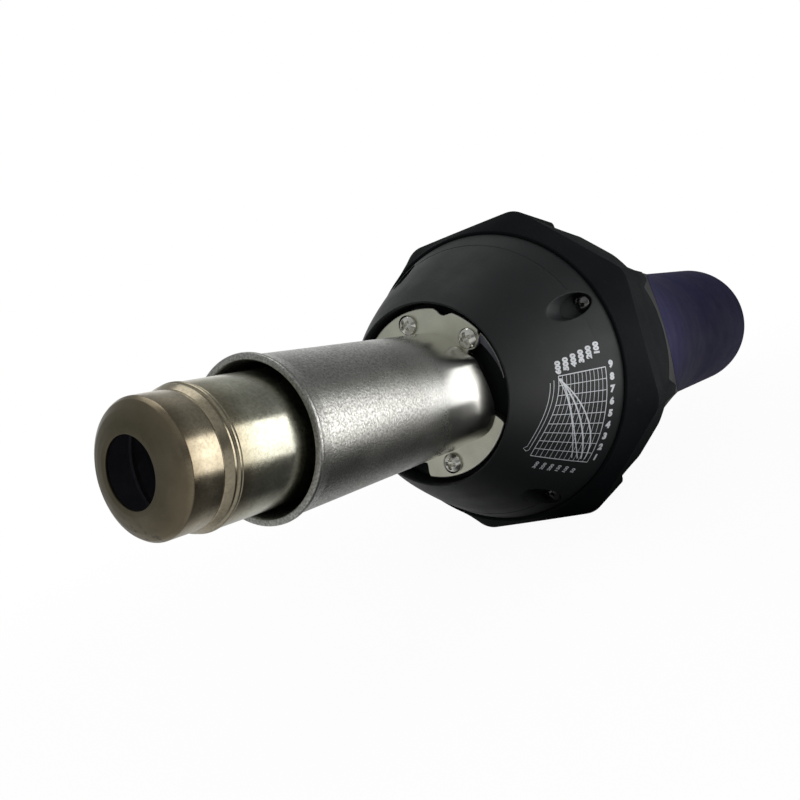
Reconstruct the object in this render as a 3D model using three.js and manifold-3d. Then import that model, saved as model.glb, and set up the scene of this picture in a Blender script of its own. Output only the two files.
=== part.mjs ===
// Hot air plastic welder: a hand tool that blows hot air from a steel tube.
//
// Millimetres. A station is a distance behind the mouth along the tool's axis, and a station s lies at
// x = -s in the tool's frame. Angles round the axis run from the tool's top (0) towards +Y (90).
// The tool lies on one flat of its rubber stand and on the rear end of its handle, nose up.

import * as THREE from 'three';
import { mergeVertices } from 'three/addons/utils/BufferGeometryUtils.js';
import Module from 'manifold-3d';

const wasm = await Module();
wasm.setup();

// Clearances and facets
const gap = 0.3;
const roundSides = 28;
const innerSides = 16;
const screwSides = 8;

// Heating tube
const tubeRadius = 15.4;
const tubeWall = 0.8;
const mouthRadius = 7.4;
const capStep = 1;
const capRadius = tubeRadius - capStep;
const capRound = 2.3;
const capCrown = 0.95;
const beadStation = 10.8;
const beadWidth = 3.4;
const beadProud = 0.15;
const beadRadius = tubeRadius + beadProud;

// Protective tube and its flange
const sleeveFront = 32.5;
const sleeveGap = 1.25;
const sleeveWall = 0.8;
const sleeveRearRadius = tubeRadius + sleeveGap + sleeveWall;
const sleeveTaper = 1.1;
const sleeveFrontRadius = sleeveRearRadius + sleeveTaper;
const sleeveRimProud = 0.8;
const sleeveRimRadius = sleeveFrontRadius + sleeveRimProud;
const sleeveRimLength = 2;
const sleeveRimThickness = 1.5;
const sleeveFillet = 0.8;
const flangeScrewInset = 3.7;
const flangeScrewOffset = 3.25;
const flangeScrewCircle = sleeveRearRadius + flangeScrewOffset;
const flangeRadius = flangeScrewCircle + flangeScrewInset;
const flangeThickness = 1.2;
const flangeNotch = { radius: 2.2, angle: 2 };
const flangeGap = { from: 38, to: 96, rim: 0.5 };
const flangeSlot = { from: 174, to: 188, rim: 2.7 };
const ringThickness = 1.2;
const ringInset = 1.2;

// Front hood, which is turned against the rest of the tool
const hoodFront = 101.3;
const domeLength = 34.2;
const domeEnd = hoodFront + domeLength;
const hoodSkirt = 14.5;
const hoodEnd = domeEnd + hoodSkirt;
const hoodRollAngle = 25.4;
const housingRadius = 44.8;
const housingWall = 2.5;
const recessClearance = 1.5;
const recessRadius = flangeRadius + recessClearance;
const recessDepth = 7.2;
const edgeChamfer = 0.4;
const recessRim = 1.3;
const domeFrontRadius = recessRadius + recessRim;
const domeBulge = 0.8;
const domeLead = 0.6;

// Blower housing and handle
const toolLength = 345.4;
const handleRadius = 28.5;
const handleLength = 65.4;
const handleRound = 2;
const handleSkin = 2.2;
const housingCore = 2;
const housingLength = 23;
const flareStart = hoodEnd + housingLength;
const flareEnd = toolLength - handleLength;
const flareInset = 0.4;
const flareRadius = housingRadius - flareInset;
const flarePower = 1.35;
const flareSteps = 4;
const spigotLength = 10;
const spigotEnd = flareEnd + spigotLength;
const tongueSetback = 64;
const tongueMiddle = flareStart + tongueSetback;
const tongueSwing = 50;

// Rubber stand
const standSides = 8;
const standThickness = 4.17;
const standApothem = housingRadius + standThickness;
const standCornerRise = 3.63;
const standCornerRadius = standApothem + standCornerRise;
const standLugDrop = 0.47;
const standLugRadius = standApothem - standLugDrop;
const standFront = domeEnd;
const standBevelLength = 9.5;
const standRidge = standFront + standBevelLength;
const standEndGap = 0.4;
const standEnd = flareStart - standEndGap;
const standStepLength = 2;
const standStep = standEnd - standStepLength;
const standLip = 0.7;
const standCuts = [-22.5, -19.5, -13.5, -4.5, 4.5, 13.5, 19.5];

// Screws
const flangeScrewAngle = 29;
const flangeScrew = { head: 2.9, height: 1.9, shank: 1.5, length: 10.4 };
const hoodScrewInset = 4.5;
const hoodScrewCircle = housingRadius - hoodScrewInset;
const hoodScrew = { head: 2.9, height: 2.2, shank: 1.6, length: 24 };
const capScrew = { head: 2.9, height: 1.6, shank: 1.5, length: 11 };
const pocketClearance = 0.8;
const pocketRadius = hoodScrew.head + pocketClearance;
const pocketFloorLead = 1.5;
const pocketFloor = domeEnd - pocketFloorLead;
const bossWall = 1.7;

// Heating element, contact plate and socket
const elementFront = 21.5;
const elementClearance = 1;
const elementRadius = capRadius - tubeWall - elementClearance;
const elementBore = 2;
const channelCount = 6;
const channelCircle = 8;
const channelRadius = 1.5;
const micaWall = 0.7;
const plateLead = 0.3;
const plateFront = hoodFront - plateLead;
const plateThickness = 4.7;
const plateAirHole = 2.2;
const elementSetback = 3;
const elementEnd = plateFront - elementSetback;
const plugPins = 3;
const pinFirstAngle = 90;
const pinCircle = 7;
const pinRadius = 1.1;
const pinLength = 16;
const socketThickness = 6.7;
const neckClearance = 1.4;
const neckRadius = elementRadius + neckClearance;
const neckWall = 2.5;
const neckLength = 11;

// Blower
const impellerLead = 1.5;
const impellerFront = hoodEnd - impellerLead;
const impellerClearance = 8.3;
const impellerRadius = housingRadius - housingWall - impellerClearance;
const impellerPlate = 1.5;
const bladeCount = 9;
const bladeHeight = 10;
const bladeThickness = 1.3;
const bladeSweepAngle = 32;
const eyeRadius = 13;
const hubRadius = 5.5;
const nutRadius = 4.4;
const nutThickness = 2.4;
const guideLead = 10;
const guideFront = hoodEnd - guideLead;
const guidePlate = 1.5;
const guideBore = 9;
const guideHoleRadius = 5;
const guideHoleCircle = 22;
const guideVanes = 8;
const vaneLength = 12;
const vaneThickness = 1.3;
const vaneHeight = 18;
const vaneInset = 1;
const vaneCircle = guideHoleCircle - vaneInset;
const vaneRoot = 0.5;
const partitionSetback = 12.5;
const partitionFront = hoodEnd + partitionSetback;
const partitionThickness = 2.5;
const inletRadius = 16;
const cageWall = 2;
const cageLength = 22;
const cageWindows = 4;
const windowLength = 5;
const windowWidth = 12;
const windowOffset = 1;

// Motor
const motorSetback = 20;
const motorFront = hoodEnd + motorSetback;
const canLength = 34;
const motorRadius = 20;
const canWall = 1.5;
const shieldLength = 16.7;
const shieldWall = 1.7;
const shieldPlate = 2;
const shieldVents = { count: 6, radius: 2.6, circle: 13 };
const shaftRadius = 2.5;
const shaftClearance = 1.5;
const shaftReach = 54;
const shaftEnd = motorFront + shaftReach;
const bearingRadius = 6;
const bearingWidth = 3.5;
const raceThickness = 1;
const raceGroove = 0.4;
const seatWall = 1.7;
const magnetThickness = 3;
const magnetAngle = 130;
const magnetMargin = 2;
const armatureClearance = 1.1;
const armatureRadius = motorRadius - canWall - magnetThickness - armatureClearance;
const armatureSetback = 11;
const armatureFront = motorFront + armatureSetback;
const armatureLength = 18;
const armatureSlots = 8;
const slotHalfWidth = 1.9;
const slotFloor = 8;
const windingHead = 4.2;
const windingInset = 0.6;
const segmentGroove = 0.5;
const commutatorRadius = 7;
const commutatorLength = 8;
const brushSetback = 6;
const brushStation = motorFront + canLength + brushSetback;
const brushWidth = 4.6;
const brushHeight = 5;
const brushLength = 5.2;
const holderWall = 0.9;
const springWire = 0.3;
const springTurns = 2;
const springMargin = 0.2;
const holderStandoff = 1;
const holderInset = 0.8;
const ringRubber = 3.7;
const ringLength = 10;
const ringOffset = 5;

// Main switch
const switchSetback = 7;
const switchStation = tongueMiddle + switchSetback;
const switchLength = 22;
const switchWidth = 13;
const switchDepth = 11;
const switchWall = 1.3;
const bezelOverhang = 2;
const bezelThickness = 1.6;
const padLength = 30;
const padWidth = 19;
const padRise = 0.9;
const padBacking = 2.5;
const rockerLength = 17.4;
const rockerDepth = 5;
const rockerTiltAngle = 7;
const rockerEdge = 1.2;
const rockerCrown = 2.6;
const rockerKeel = 1.4;
const pivotDrop = 2.2;
const pocketMargin = 0.6;
const terminal = { thickness: 0.8, width: 5, length: 6, spacing: 7, root: 0.5 };

// Control board and temperature dial
const dialSetback = 45.4;
const dialStation = toolLength - dialSetback;
const dialRadius = 8;
const dialThickness = 3;
const dialSeatDepth = 1.6;
const dialSeatMargin = 2.5;
const dialChamfer = 0.5;
const dialSlot = { length: 10, width: 1.2, depth: 0.6 };
const boardLead = 32;
const boardFront = flareEnd - boardLead;
const boardReach = 12;
const boardEnd = dialStation + boardReach;
const boardThickness = 1.6;
const potRadius = 8;
const potThickness = 7.7;
const potShaftRadius = 3;
const potFloor = 1.5;
const hubLength = 4;
const hubWall = 2;
const shaftSeat = 0.5;
const finCount = 5;
const finHeight = 9;
const finThickness = 1.5;
const sinkLength = 18;
const sinkWidth = 22;
const sinkPlate = 2;
const sinkOffset = 4;

// Rear end
const capInset = 3.1;
const capThickness = 2.5;
const glandRadius = 8.7;
const glandBore = 3.9;
const glandFlangeProud = 2.3;
const glandFlange = glandRadius + glandFlangeProud;
const glandLength = 17.5;
const glandRim = { thickness: 2.4, chamfer: 0.8 };
const glandNose = { length: 5, frontInset: 1.5, rearInset: 2.2 };
const inletSlots = 10;
const slotInset = 3.3;
const slideClearance = 6.8;
const slideRadius = handleRadius - handleSkin - slideClearance;
const slideMargin = 1.5;
const slotInner = glandRadius + slotInset;
const slotOuter = slideRadius - slideMargin;
const slotShare = 0.5;
const slideThickness = 1.4;
const slideTab = { height: 2.2, width: 2.4, thickness: 1.6, inset: 0.2 };
const filterThickness = 5;

// Values that follow from the ones above
const rad = THREE.MathUtils.degToRad;
const clearOf = (radius, sides = roundSides) => radius / Math.cos(Math.PI / sides) + gap;
const flatOf = (radius, sides = roundSides) => radius * Math.cos(Math.PI / sides);
const restContact = toolLength - handleRound;
const restTilt = Math.atan((standApothem - handleRadius) / (restContact - standRidge));
const soleApothem = (station) => standApothem - (station - standRidge) * Math.tan(restTilt);
const flare = (station) => {
  const done = THREE.MathUtils.clamp((station - flareStart) / (flareEnd - flareStart), 0, 1);
  return handleRadius + (flareRadius - handleRadius) * (1 - done) ** flarePower;
};
const tongueEdge = (angle) => tongueMiddle + tongueSwing * Math.cos(2 * angle);
const ringAngles = (count, first = 0) => Array.from({ length: count }, (_, i) => first + (360 / count) * i);
const recessFloor = hoodFront + recessDepth;
const insulatorFront = recessFloor - gap - ringThickness;
const tubeFlangeFront = insulatorFront - gap - tubeWall;
const flangeFront = tubeFlangeFront - gap - flangeThickness;
const flangeScrewAngles = [-1, 1].flatMap((side) =>
  [0, 180].map((pair) => pair + side * flangeScrewAngle));
const hoodScrewAngles = ringAngles(4, 45);

// A closed mesh as a solid that can be joined and cut
function solid(geometry) {
  const bare = geometry.clone();
  bare.deleteAttribute('normal');
  bare.deleteAttribute('uv');
  const merged = mergeVertices(bare, 1e-4);
  const corners = merged.index.array;
  const triangles = [];
  for (let i = 0; i < corners.length; i += 3) {
    const [a, b, c] = corners.slice(i, i + 3);
    if (a !== b && b !== c && c !== a) triangles.push(a, b, c);
  }
  const vertProperties = Float32Array.from(merged.attributes.position.array);
  return new wasm.Manifold(new wasm.Mesh({ numProp: 3, vertProperties,
    triVerts: Uint32Array.from(triangles) }));
}

function geometryOf(body) {
  const { vertProperties, triVerts } = body.getMesh();
  const geometry = new THREE.BufferGeometry();
  geometry.setAttribute('position', new THREE.BufferAttribute(Float32Array.from(vertProperties), 3));
  geometry.setIndex(new THREE.BufferAttribute(Uint32Array.from(triVerts), 1));
  return geometry;
}

const join = (...parts) => geometryOf(parts.map(solid).reduce((whole, part) => whole.add(part)));
const cut = (base, ...tools) => geometryOf(tools.map(solid).reduce((left, tool) => left.subtract(tool),
  solid(base)));
const common = (one, other) => geometryOf(solid(one).intersect(solid(other)));

// A solid turned about the tool's axis from a loop of [station, radius] points
function turned(outline, sides = roundSides) {
  const area = outline.reduce((sum, [station, radius], i) => {
    const [nextStation, nextRadius] = outline[(i + 1) % outline.length];
    return sum + station * nextRadius - nextStation * radius;
  }, 0);
  const loop = area < 0 ? [...outline] : [...outline].reverse();
  if (loop[0][1] > 0) loop.push(loop[0]);
  const points = loop.map(([station, radius]) => new THREE.Vector2(radius, station));
  return geometryOf(solid(new THREE.LatheGeometry(points, sides).rotateZ(Math.PI / 2)));
}

const rod = (radius, from, to, sides = innerSides) =>
  turned([[from, 0], [from, radius], [to, radius], [to, 0]], sides);
const pipe = (inner, outer, from, to, sides = innerSides) =>
  turned([[from, inner], [from, outer], [to, outer], [to, inner]], sides);

// A box by its size, with its middle at a point
const block = (lengthX, lengthY, lengthZ, x = 0, y = 0, z = 0) =>
  new THREE.BoxGeometry(lengthX, lengthY, lengthZ).translate(x, y, z);

// A shape drawn across the axis (Y to its right, Z up), drawn out between two stations
function drawn(shape, from, to) {
  const geometry = new THREE.ExtrudeGeometry(shape,
    { depth: to - from, bevelEnabled: false, curveSegments: 6 });
  const across = new THREE.Matrix4().makeBasis(
    new THREE.Vector3(0, 1, 0), new THREE.Vector3(0, 0, 1), new THREE.Vector3(1, 0, 0));
  return geometry.applyMatrix4(across).translate(-to, 0, 0);
}

const spot = (radius, angle) => new THREE.Vector2(radius * Math.sin(rad(angle)),
  radius * Math.cos(rad(angle)));

// Copies of a solid, moved to a radius and turned to each angle round the axis
const copies = (geometry, radius, angles) =>
  angles.map((angle) => geometry.clone().translate(0, 0, radius).rotateX(-rad(angle)));

// Part of a ring between two angles
function sector(inner, outer, from, to, start, end, steps) {
  const arc = (radius) => Array.from({ length: steps + 1 }, (_, i) =>
    spot(radius, from + ((to - from) * i) / steps));
  return drawn(new THREE.Shape([...arc(outer), ...arc(inner).reverse()]), start, end);
}

const tool = new THREE.Group();
const rolled = new THREE.Group();
rolled.rotation.x = -rad(hoodRollAngle);
tool.add(rolled);

function finish(color, roughness, metalness) {
  return { color, roughness, metalness };
}
const tintedSteel = finish(0xa39a80, 0.35, 1);
const satinSteel = finish(0xb4b3ae, 0.42, 1);
const brightSteel = finish(0xc9c9cc, 0.25, 1);
const blackPlastic = finish(0x1b1c1f, 0.55, 0);
const blackRubber = finish(0x15171b, 0.8, 0);
const indigoPlastic = finish(0x1a1640, 0.6, 0);
const mica = finish(0xc8b98f, 0.7, 0);
const ceramic = finish(0xe4e0d6, 0.8, 0);
const copper = finish(0xb87333, 0.35, 1);
const brass = finish(0xc8a24a, 0.35, 1);
const carbon = finish(0x2a2a2c, 0.7, 0);
const greyPlastic = finish(0x55585c, 0.6, 0);
const boardGreen = finish(0x1f5a34, 0.5, 0);
const aluminium = finish(0xb9bcc0, 0.4, 1);
const foam = finish(0x3a3b3d, 0.95, 0);

function piece(parent, name, geometry, look) {
  const mesh = new THREE.Mesh(geometry, new THREE.MeshStandardMaterial(look));
  mesh.name = name;
  parent.add(mesh);
  return mesh;
}

// A piece drawn about its own origin, moved to a station, a radius and an angle round the axis
function pieceAt(parent, name, geometry, look, station, radius, angle) {
  const mesh = piece(parent, name, geometry, look);
  const place = spot(radius, angle);
  mesh.position.set(-station, place.x, place.y);
  return mesh;
}

// A cross-head screw with its seat at station 0
function crossScrew({ head, height, shank, length }) {
  const outline = [
    [-height, 0], [-height, head * 0.6], [-height * 0.4, head], [0, head], [0, shank],
      [length, shank * 0.7], [length, 0],
  ];
  const slot = block(height, head * 1.15, head * 0.26, height);
  return cut(turned(outline, screwSides), slot, slot.clone().rotateX(Math.PI / 2));
}

// Heating tube: a rounded cap with the mouth, a neck, a rolled bead and the tube with its own flange
const capArc = (radius, inset, turns) => turns.map((turn) => [
  capCrown + capRound - (capRound - inset) * Math.cos(rad(turn)),
  radius - capRound + (capRound - inset) * Math.sin(rad(turn)),
]);
const beadEnd = beadStation + beadWidth;
const tubeOutline = [
  [0, mouthRadius],
  [capCrown * 0.45, (mouthRadius + capRadius) / 2],
  ...capArc(capRadius, 0, [0, 30, 60, 90]),
  [beadStation - tubeWall, capRadius],
  [beadStation + beadWidth * 0.3, beadRadius],
  [beadStation + beadWidth * 0.7, beadRadius],
  [beadEnd, tubeRadius - tubeWall / 4],
  [beadEnd + tubeWall, tubeRadius],
  [tubeFlangeFront, tubeRadius],
  [tubeFlangeFront, flangeRadius - gap],
  [tubeFlangeFront + tubeWall, flangeRadius - gap],
  [tubeFlangeFront + tubeWall, tubeRadius - tubeWall],
  [beadStation + beadWidth * 0.7, tubeRadius - tubeWall],
  [beadStation, capRadius - tubeWall],
  ...capArc(capRadius, tubeWall, [90, 30]),
  [tubeWall, mouthRadius],
];
const shankClear = flangeScrew.shank + gap;
const flangeHoles = copies(rod(shankClear, flangeFront - 1, recessFloor + 1, screwSides),
  flangeScrewCircle, flangeScrewAngles);

// What is cut from the rims of both tubes and the ring between them: a small notch, a slot and a wide gap
const flangeCuts = [
  ...copies(rod(flangeNotch.radius, flangeFront - 1, recessFloor), flangeRadius + flangeNotch.radius / 2,
    [flangeNotch.angle]),
  ...[flangeGap, flangeSlot].map(({ from, to, rim }) =>
    sector(sleeveRearRadius + rim, 1.2 * flangeRadius, from, to, flangeFront - 1, recessFloor, 4)),
];
piece(rolled, 'heating_tube', cut(turned(tubeOutline), ...flangeHoles, ...flangeCuts), tintedSteel);

// Protective tube: a rolled rim, a slightly tapered sleeve and a scalloped flange
const sleeveOutline = [
  [sleeveFront, sleeveRimRadius - sleeveRimThickness],
  [sleeveFront, sleeveRimRadius - edgeChamfer],
  [sleeveFront + edgeChamfer, sleeveRimRadius],
  [sleeveFront + sleeveRimLength, sleeveRimRadius],
  [sleeveFront + 2 * sleeveRimLength, sleeveFrontRadius],
  [flangeFront - sleeveFillet, sleeveRearRadius],
  [flangeFront - sleeveFillet * 0.35, sleeveRearRadius + sleeveFillet * 0.35],
  [flangeFront, sleeveRearRadius + sleeveFillet],
  [flangeFront, flangeRadius],
  [flangeFront + flangeThickness, flangeRadius],
  [flangeFront + flangeThickness, sleeveRearRadius - sleeveWall],
  [sleeveFront + 2 * sleeveRimLength, sleeveFrontRadius - sleeveWall],
];
const headSeats = copies(rod(flangeScrew.head + gap, flangeFront - 2 * flangeScrew.height, flangeFront,
  screwSides),
  flangeScrewCircle, flangeScrewAngles);
piece(rolled, 'protective_tube', cut(turned(sleeveOutline), ...headSeats, ...flangeHoles, ...flangeCuts),
  satinSteel);

flangeScrewAngles.forEach((angle, i) => pieceAt(rolled, `flange_screw_${i + 1}`, crossScrew(flangeScrew),
  brightSteel,
  flangeFront - gap, flangeScrewCircle, angle));

// Insulating ring under the flange
piece(rolled, 'insulating_ring',
  cut(pipe(neckRadius + gap, flangeRadius - ringInset, insulatorFront, insulatorFront + ringThickness),
    ...flangeHoles, ...flangeCuts), mica);

// Heating element: a ceramic body with channels, a wire that runs to and fro in them, and a mica tube
// round it
const channels = copies(rod(channelRadius, elementFront - 1, elementEnd + 1, screwSides), channelCircle,
  ringAngles(channelCount));
piece(rolled, 'element_core',
  cut(rod(elementRadius, elementFront, elementEnd),
    rod(elementBore, elementFront - 1, elementEnd + 1, screwSides),
    ...channels), ceramic);

const wireRadius = flatOf(channelRadius, screwSides) - gap;
const wireFront = elementFront - gap - wireRadius;
const wireEnd = elementEnd + gap + wireRadius;
const wireRuns = copies(rod(wireRadius, wireFront, wireEnd, 6), channelCircle, ringAngles(channelCount));
const wireSpan = 2 * channelCircle * Math.sin(Math.PI / channelCount);
const wireLinks = Array.from({ length: channelCount - 1 }, (_, i) => {
  const link = rod(wireRadius, -wireSpan / 2, wireSpan / 2, 6).rotateZ(Math.PI / 2);
  const middle = channelCircle * Math.cos(Math.PI / channelCount);
  return link.translate(i % 2 ? -wireEnd : -wireFront, 0,
    middle).rotateX(-rad((360 / channelCount) * (i + 0.5)));
});
piece(rolled, 'heating_wire', join(...wireRuns, ...wireLinks), carbon);

const micaRadius = clearOf(elementRadius, innerSides);
const plateShoulder = insulatorFront + gap;
piece(rolled, 'mica_tube',
  pipe(micaRadius, micaRadius + micaWall, elementFront - 2, plateShoulder - gap), mica);

// Contact plate with plug pins, and the socket in the hood's neck that takes them
const pinAngles = ringAngles(plugPins, pinFirstAngle);
const pinHoles = copies(rod(clearOf(pinRadius, screwSides), plateFront - 1, hoodEnd, screwSides), pinCircle,
  pinAngles);
const airHoles = copies(rod(plateAirHole, plateFront - 1, hoodEnd, screwSides), pinCircle,
  ringAngles(plugPins, pinFirstAngle + 180 / plugPins));
const plateEnd = plateShoulder + plateThickness;
const plugRadius = flatOf(neckRadius) - gap;
const plateOutline = [
  [plateFront, 0], [plateFront, elementRadius], [plateShoulder, elementRadius], [plateShoulder, plugRadius],
  [plateEnd, plugRadius], [plateEnd, 0],
];
piece(rolled, 'contact_plate', cut(turned(plateOutline, innerSides), ...pinHoles, ...airHoles), ceramic);

const pinOutline = [
  [0, 0], [0, pinRadius], [pinLength - pinRadius, pinRadius], [pinLength, pinRadius * 0.4], [pinLength, 0],
];
pinAngles.forEach((angle, i) => pieceAt(rolled, `plug_pin_${i + 1}`, turned(pinOutline, screwSides), brass,
  plateFront + 1, pinCircle, angle));

const socketEnd = recessFloor + neckWall + neckLength - 1;
piece(rolled, 'contact_socket',
  cut(rod(plugRadius, socketEnd - socketThickness, socketEnd), ...pinHoles, ...airHoles), greyPlastic);

// Front hood: a domed shell with a recess for the flange and four deep pockets for its screws
const domeSteps = 4;
const dome = Array.from({ length: domeSteps + 1 }, (_, i) => {
  const share = i / domeSteps;
  const straight = domeFrontRadius + (housingRadius - domeFrontRadius) * share;
  return [hoodFront + domeLead + (domeEnd - hoodFront - domeLead) * share,
    straight + domeBulge * 4 * share * (1 - share)];
});
const innerRadius = housingRadius - housingWall;
const floorBack = recessFloor + neckWall;
const hoodOutline = [
  [recessFloor, neckRadius],
  [recessFloor, recessRadius],
  [hoodFront + edgeChamfer, recessRadius],
  [hoodFront, recessRadius + edgeChamfer],
  ...dome,
  [hoodEnd, housingRadius],
  [hoodEnd, innerRadius],
  [domeEnd + 1, innerRadius],
  [floorBack, recessRadius + housingWall],
  [floorBack, neckRadius + neckWall],
  [floorBack + neckLength, neckRadius + neckWall],
  [floorBack + neckLength, neckRadius],
];
const hoodEnvelope = turned([[recessFloor, 0], [recessFloor, domeFrontRadius], ...dome,
  [hoodEnd, housingRadius],
  [hoodEnd, 0]]);
const pocketBosses = join(...copies(rod(pocketRadius + bossWall, hoodFront, hoodEnd), hoodScrewCircle,
  hoodScrewAngles));
const pockets = copies(rod(pocketRadius, hoodFront, pocketFloor), hoodScrewCircle, hoodScrewAngles);
const hoodScrewHoles = copies(rod(hoodScrew.shank + gap, pocketFloor - 1, hoodEnd + 1, screwSides),
  hoodScrewCircle,
  hoodScrewAngles);
const flangeScrewEnd = flangeFront - gap + flangeScrew.length;
const flangeBosses = copies(rod(shankClear + bossWall, recessFloor, flangeScrewEnd + 1, screwSides),
  flangeScrewCircle, flangeScrewAngles);
const flangePilots = copies(rod(shankClear, recessFloor - 1, flangeScrewEnd + 2, screwSides),
  flangeScrewCircle,
  flangeScrewAngles);
piece(rolled, 'front_hood',
  cut(join(turned(hoodOutline), common(pocketBosses, hoodEnvelope), ...flangeBosses), ...pockets,
    ...hoodScrewHoles,
    ...flangePilots), blackPlastic);

hoodScrewAngles.forEach((angle, i) => pieceAt(rolled, `hood_screw_${i + 1}`, crossScrew(hoodScrew),
  brightSteel,
  pocketFloor - gap, hoodScrewCircle, angle));

// Air guide: a plate with holes and straight vanes behind the hood's neck
const guideEnd = guideFront + guidePlate;
const guideNotches = copies(rod(clearOf(pocketRadius + bossWall, innerSides), guideFront - 1, guideEnd + 1),
  hoodScrewCircle, hoodScrewAngles);
const guideHoles = copies(rod(guideHoleRadius, guideFront - 1, guideEnd + 1, screwSides), guideHoleCircle,
  ringAngles(guideVanes, 180 / guideVanes));
const vanes = copies(
  block(vaneLength + 2 * vaneRoot, vaneThickness, vaneHeight, vaneLength / 2 - guideFront - vaneRoot),
    vaneCircle,
  ringAngles(guideVanes));
const guideDisc = pipe(guideBore, flatOf(innerRadius) - gap, guideFront, guideEnd, roundSides);
piece(rolled, 'air_guide', cut(join(guideDisc, ...vanes), ...guideNotches, ...guideHoles), greyPlastic);

// Rubber stand: eight flats, the lowest of them in the plane that the tool rests on
function standRadius(degrees, apothem, corner) {
  const pitch = 360 / standSides;
  const offFlat = degrees - pitch * Math.round(degrees / pitch);
  return Math.min(apothem / Math.cos(rad(offFlat)), corner);
}

function standBody() {
  const angles = ringAngles(standSides).flatMap((middle) => standCuts.map((off) => middle + off));
  const bore = clearOf(housingRadius);
  const rings = [
    () => [standFront, bore + standLip],
    (angle) => [standRidge, standRadius(angle, standApothem, standCornerRadius)],
    (angle) => [standStep, standRadius(angle, soleApothem(standStep), standLugRadius)],
    () => [standStep, bore + standLip],
    () => [standEnd, bore + standLip],
    () => [standEnd, bore],
    () => [standFront, bore],
  ];
  const corners = rings.flatMap((ring) => angles.flatMap((angle) => {
    const [station, radius] = ring(angle);
    const place = spot(radius, angle);
    return [-station, place.x, place.y];
  }));
  const faces = [];
  rings.forEach((_, i) => angles.forEach((__, j) => {
    const [a, b] = [i, (i + 1) % rings.length].map((row) => row * angles.length + j);
    const [c, d] = [i, (i + 1) % rings.length].map((row) =>
      row * angles.length + ((j + 1) % angles.length));
    faces.push(a, c, b, b, c, d);
  }));
  const geometry = new THREE.BufferGeometry();
  geometry.setAttribute('position', new THREE.Float32BufferAttribute(corners, 3));
  geometry.setIndex(faces);
  return geometry;
}
piece(tool, 'rubber_stand', standBody(), blackRubber);

// Rear housing: the blower's rear half, the flared core that the handle slides on, and a black skin with
// two tongues
const flareStations = Array.from({ length: flareSteps + 1 }, (_, i) =>
  flareStart + ((flareEnd - flareStart) * i) / flareSteps);
const housingFront = hoodEnd + gap;
const coreOuter = (station) => flare(station) - handleSkin - gap;
const coreInner = (station) => coreOuter(station) - housingCore;
const coreOutline = [
  [housingFront, innerRadius],
  [housingFront, housingRadius],
  [flareStart, housingRadius],
  ...flareStations.map((station) => [station + gap, coreOuter(station)]),
  [spigotEnd, coreOuter(spigotEnd)],
  [spigotEnd, coreInner(spigotEnd)],
  ...flareStations.map((station) => [station, coreInner(station)]).reverse(),
  [flareStart - 4, innerRadius],
];
const skinStations = [...flareStations, spigotEnd];
const skinOutline = [
  ...skinStations.map((station) => [station, flare(station)]),
  ...skinStations.map((station) => [station, coreInner(station) + housingCore / 2]).reverse(),
];

// A thick ring whose rear end follows the line between the black skin and the handle
function tongueRing(allowance) {
  const [inner, outer, front] = [10, 60, flareStart - 10];
  const angles = ringAngles(roundSides);
  const corners = angles.flatMap((angle) => {
    const [near, far] = [spot(inner, angle), spot(outer, angle)];
    const edge = tongueEdge(rad(angle)) + allowance;
    return [-front, near.x, near.y, -front, far.x, far.y, -edge, far.x, far.y, -edge, near.x, near.y];
  });
  const faces = angles.flatMap((_, j) => [0, 1, 2, 3].flatMap((side) => {
    const next = ((j + 1) % angles.length) * 4;
    const [a, b, c, d] = [j * 4 + side, j * 4 + ((side + 1) % 4), next + side, next + ((side + 1) % 4)];
    return [a, c, b, c, d, b];
  }));
  const geometry = new THREE.BufferGeometry();
  geometry.setAttribute('position', new THREE.Float32BufferAttribute(corners, 3));
  geometry.setIndex(faces);
  return geometry;
}

const partitionEnd = partitionFront + partitionThickness;
const partition = pipe(inletRadius, innerRadius + 1, partitionFront, partitionEnd, roundSides);
const ringOuter = clearOf(motorRadius, innerSides) + ringRubber;
const cageInner = clearOf(ringOuter, innerSides);
const cage = pipe(cageInner, cageInner + cageWall, partitionFront, partitionFront + cageLength);
const windowMiddle = partitionEnd + windowOffset + windowLength / 2;
const windows = copies(block(windowLength, windowWidth, 5 * cageWall, -windowMiddle), cageInner,
  ringAngles(cageWindows));
const hoodScrewEnd = pocketFloor - gap + hoodScrew.length;
const screwBosses = copies(rod(hoodScrew.shank + gap + bossWall, housingFront, partitionFront + 1),
  hoodScrewCircle, hoodScrewAngles.map((angle) => angle + hoodRollAngle));
const screwPilots = copies(rod(hoodScrew.shank + gap, housingFront - 1, hoodScrewEnd + 1, screwSides),
  hoodScrewCircle, hoodScrewAngles.map((angle) => angle + hoodRollAngle));

// The main switch stands square to the flare, on a flat pad on the top tongue
const switchTilt = Math.atan((flare(switchStation - padLength / 2) - flare(switchStation + padLength / 2))
  / padLength);
const switchTop = flare(switchStation) + padRise;
const onPad = (geometry) => geometry.rotateY(-switchTilt).translate(-switchStation, 0, switchTop);
const padDepth = handleSkin + housingCore + padRise + padBacking;
const pad = onPad(block(padLength, padWidth, padDepth, 0, 0, -padDepth / 2));
const padOpening = onPad(block(switchLength + 2 * gap, switchWidth + 2 * gap, 4 * padDepth));

piece(tool, 'rear_housing',
  cut(join(turned(coreOutline), common(turned(skinOutline), tongueRing(0)), partition,
    cut(cage, ...windows),
    ...screwBosses, pad), ...screwPilots, padOpening), blackPlastic);

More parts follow.
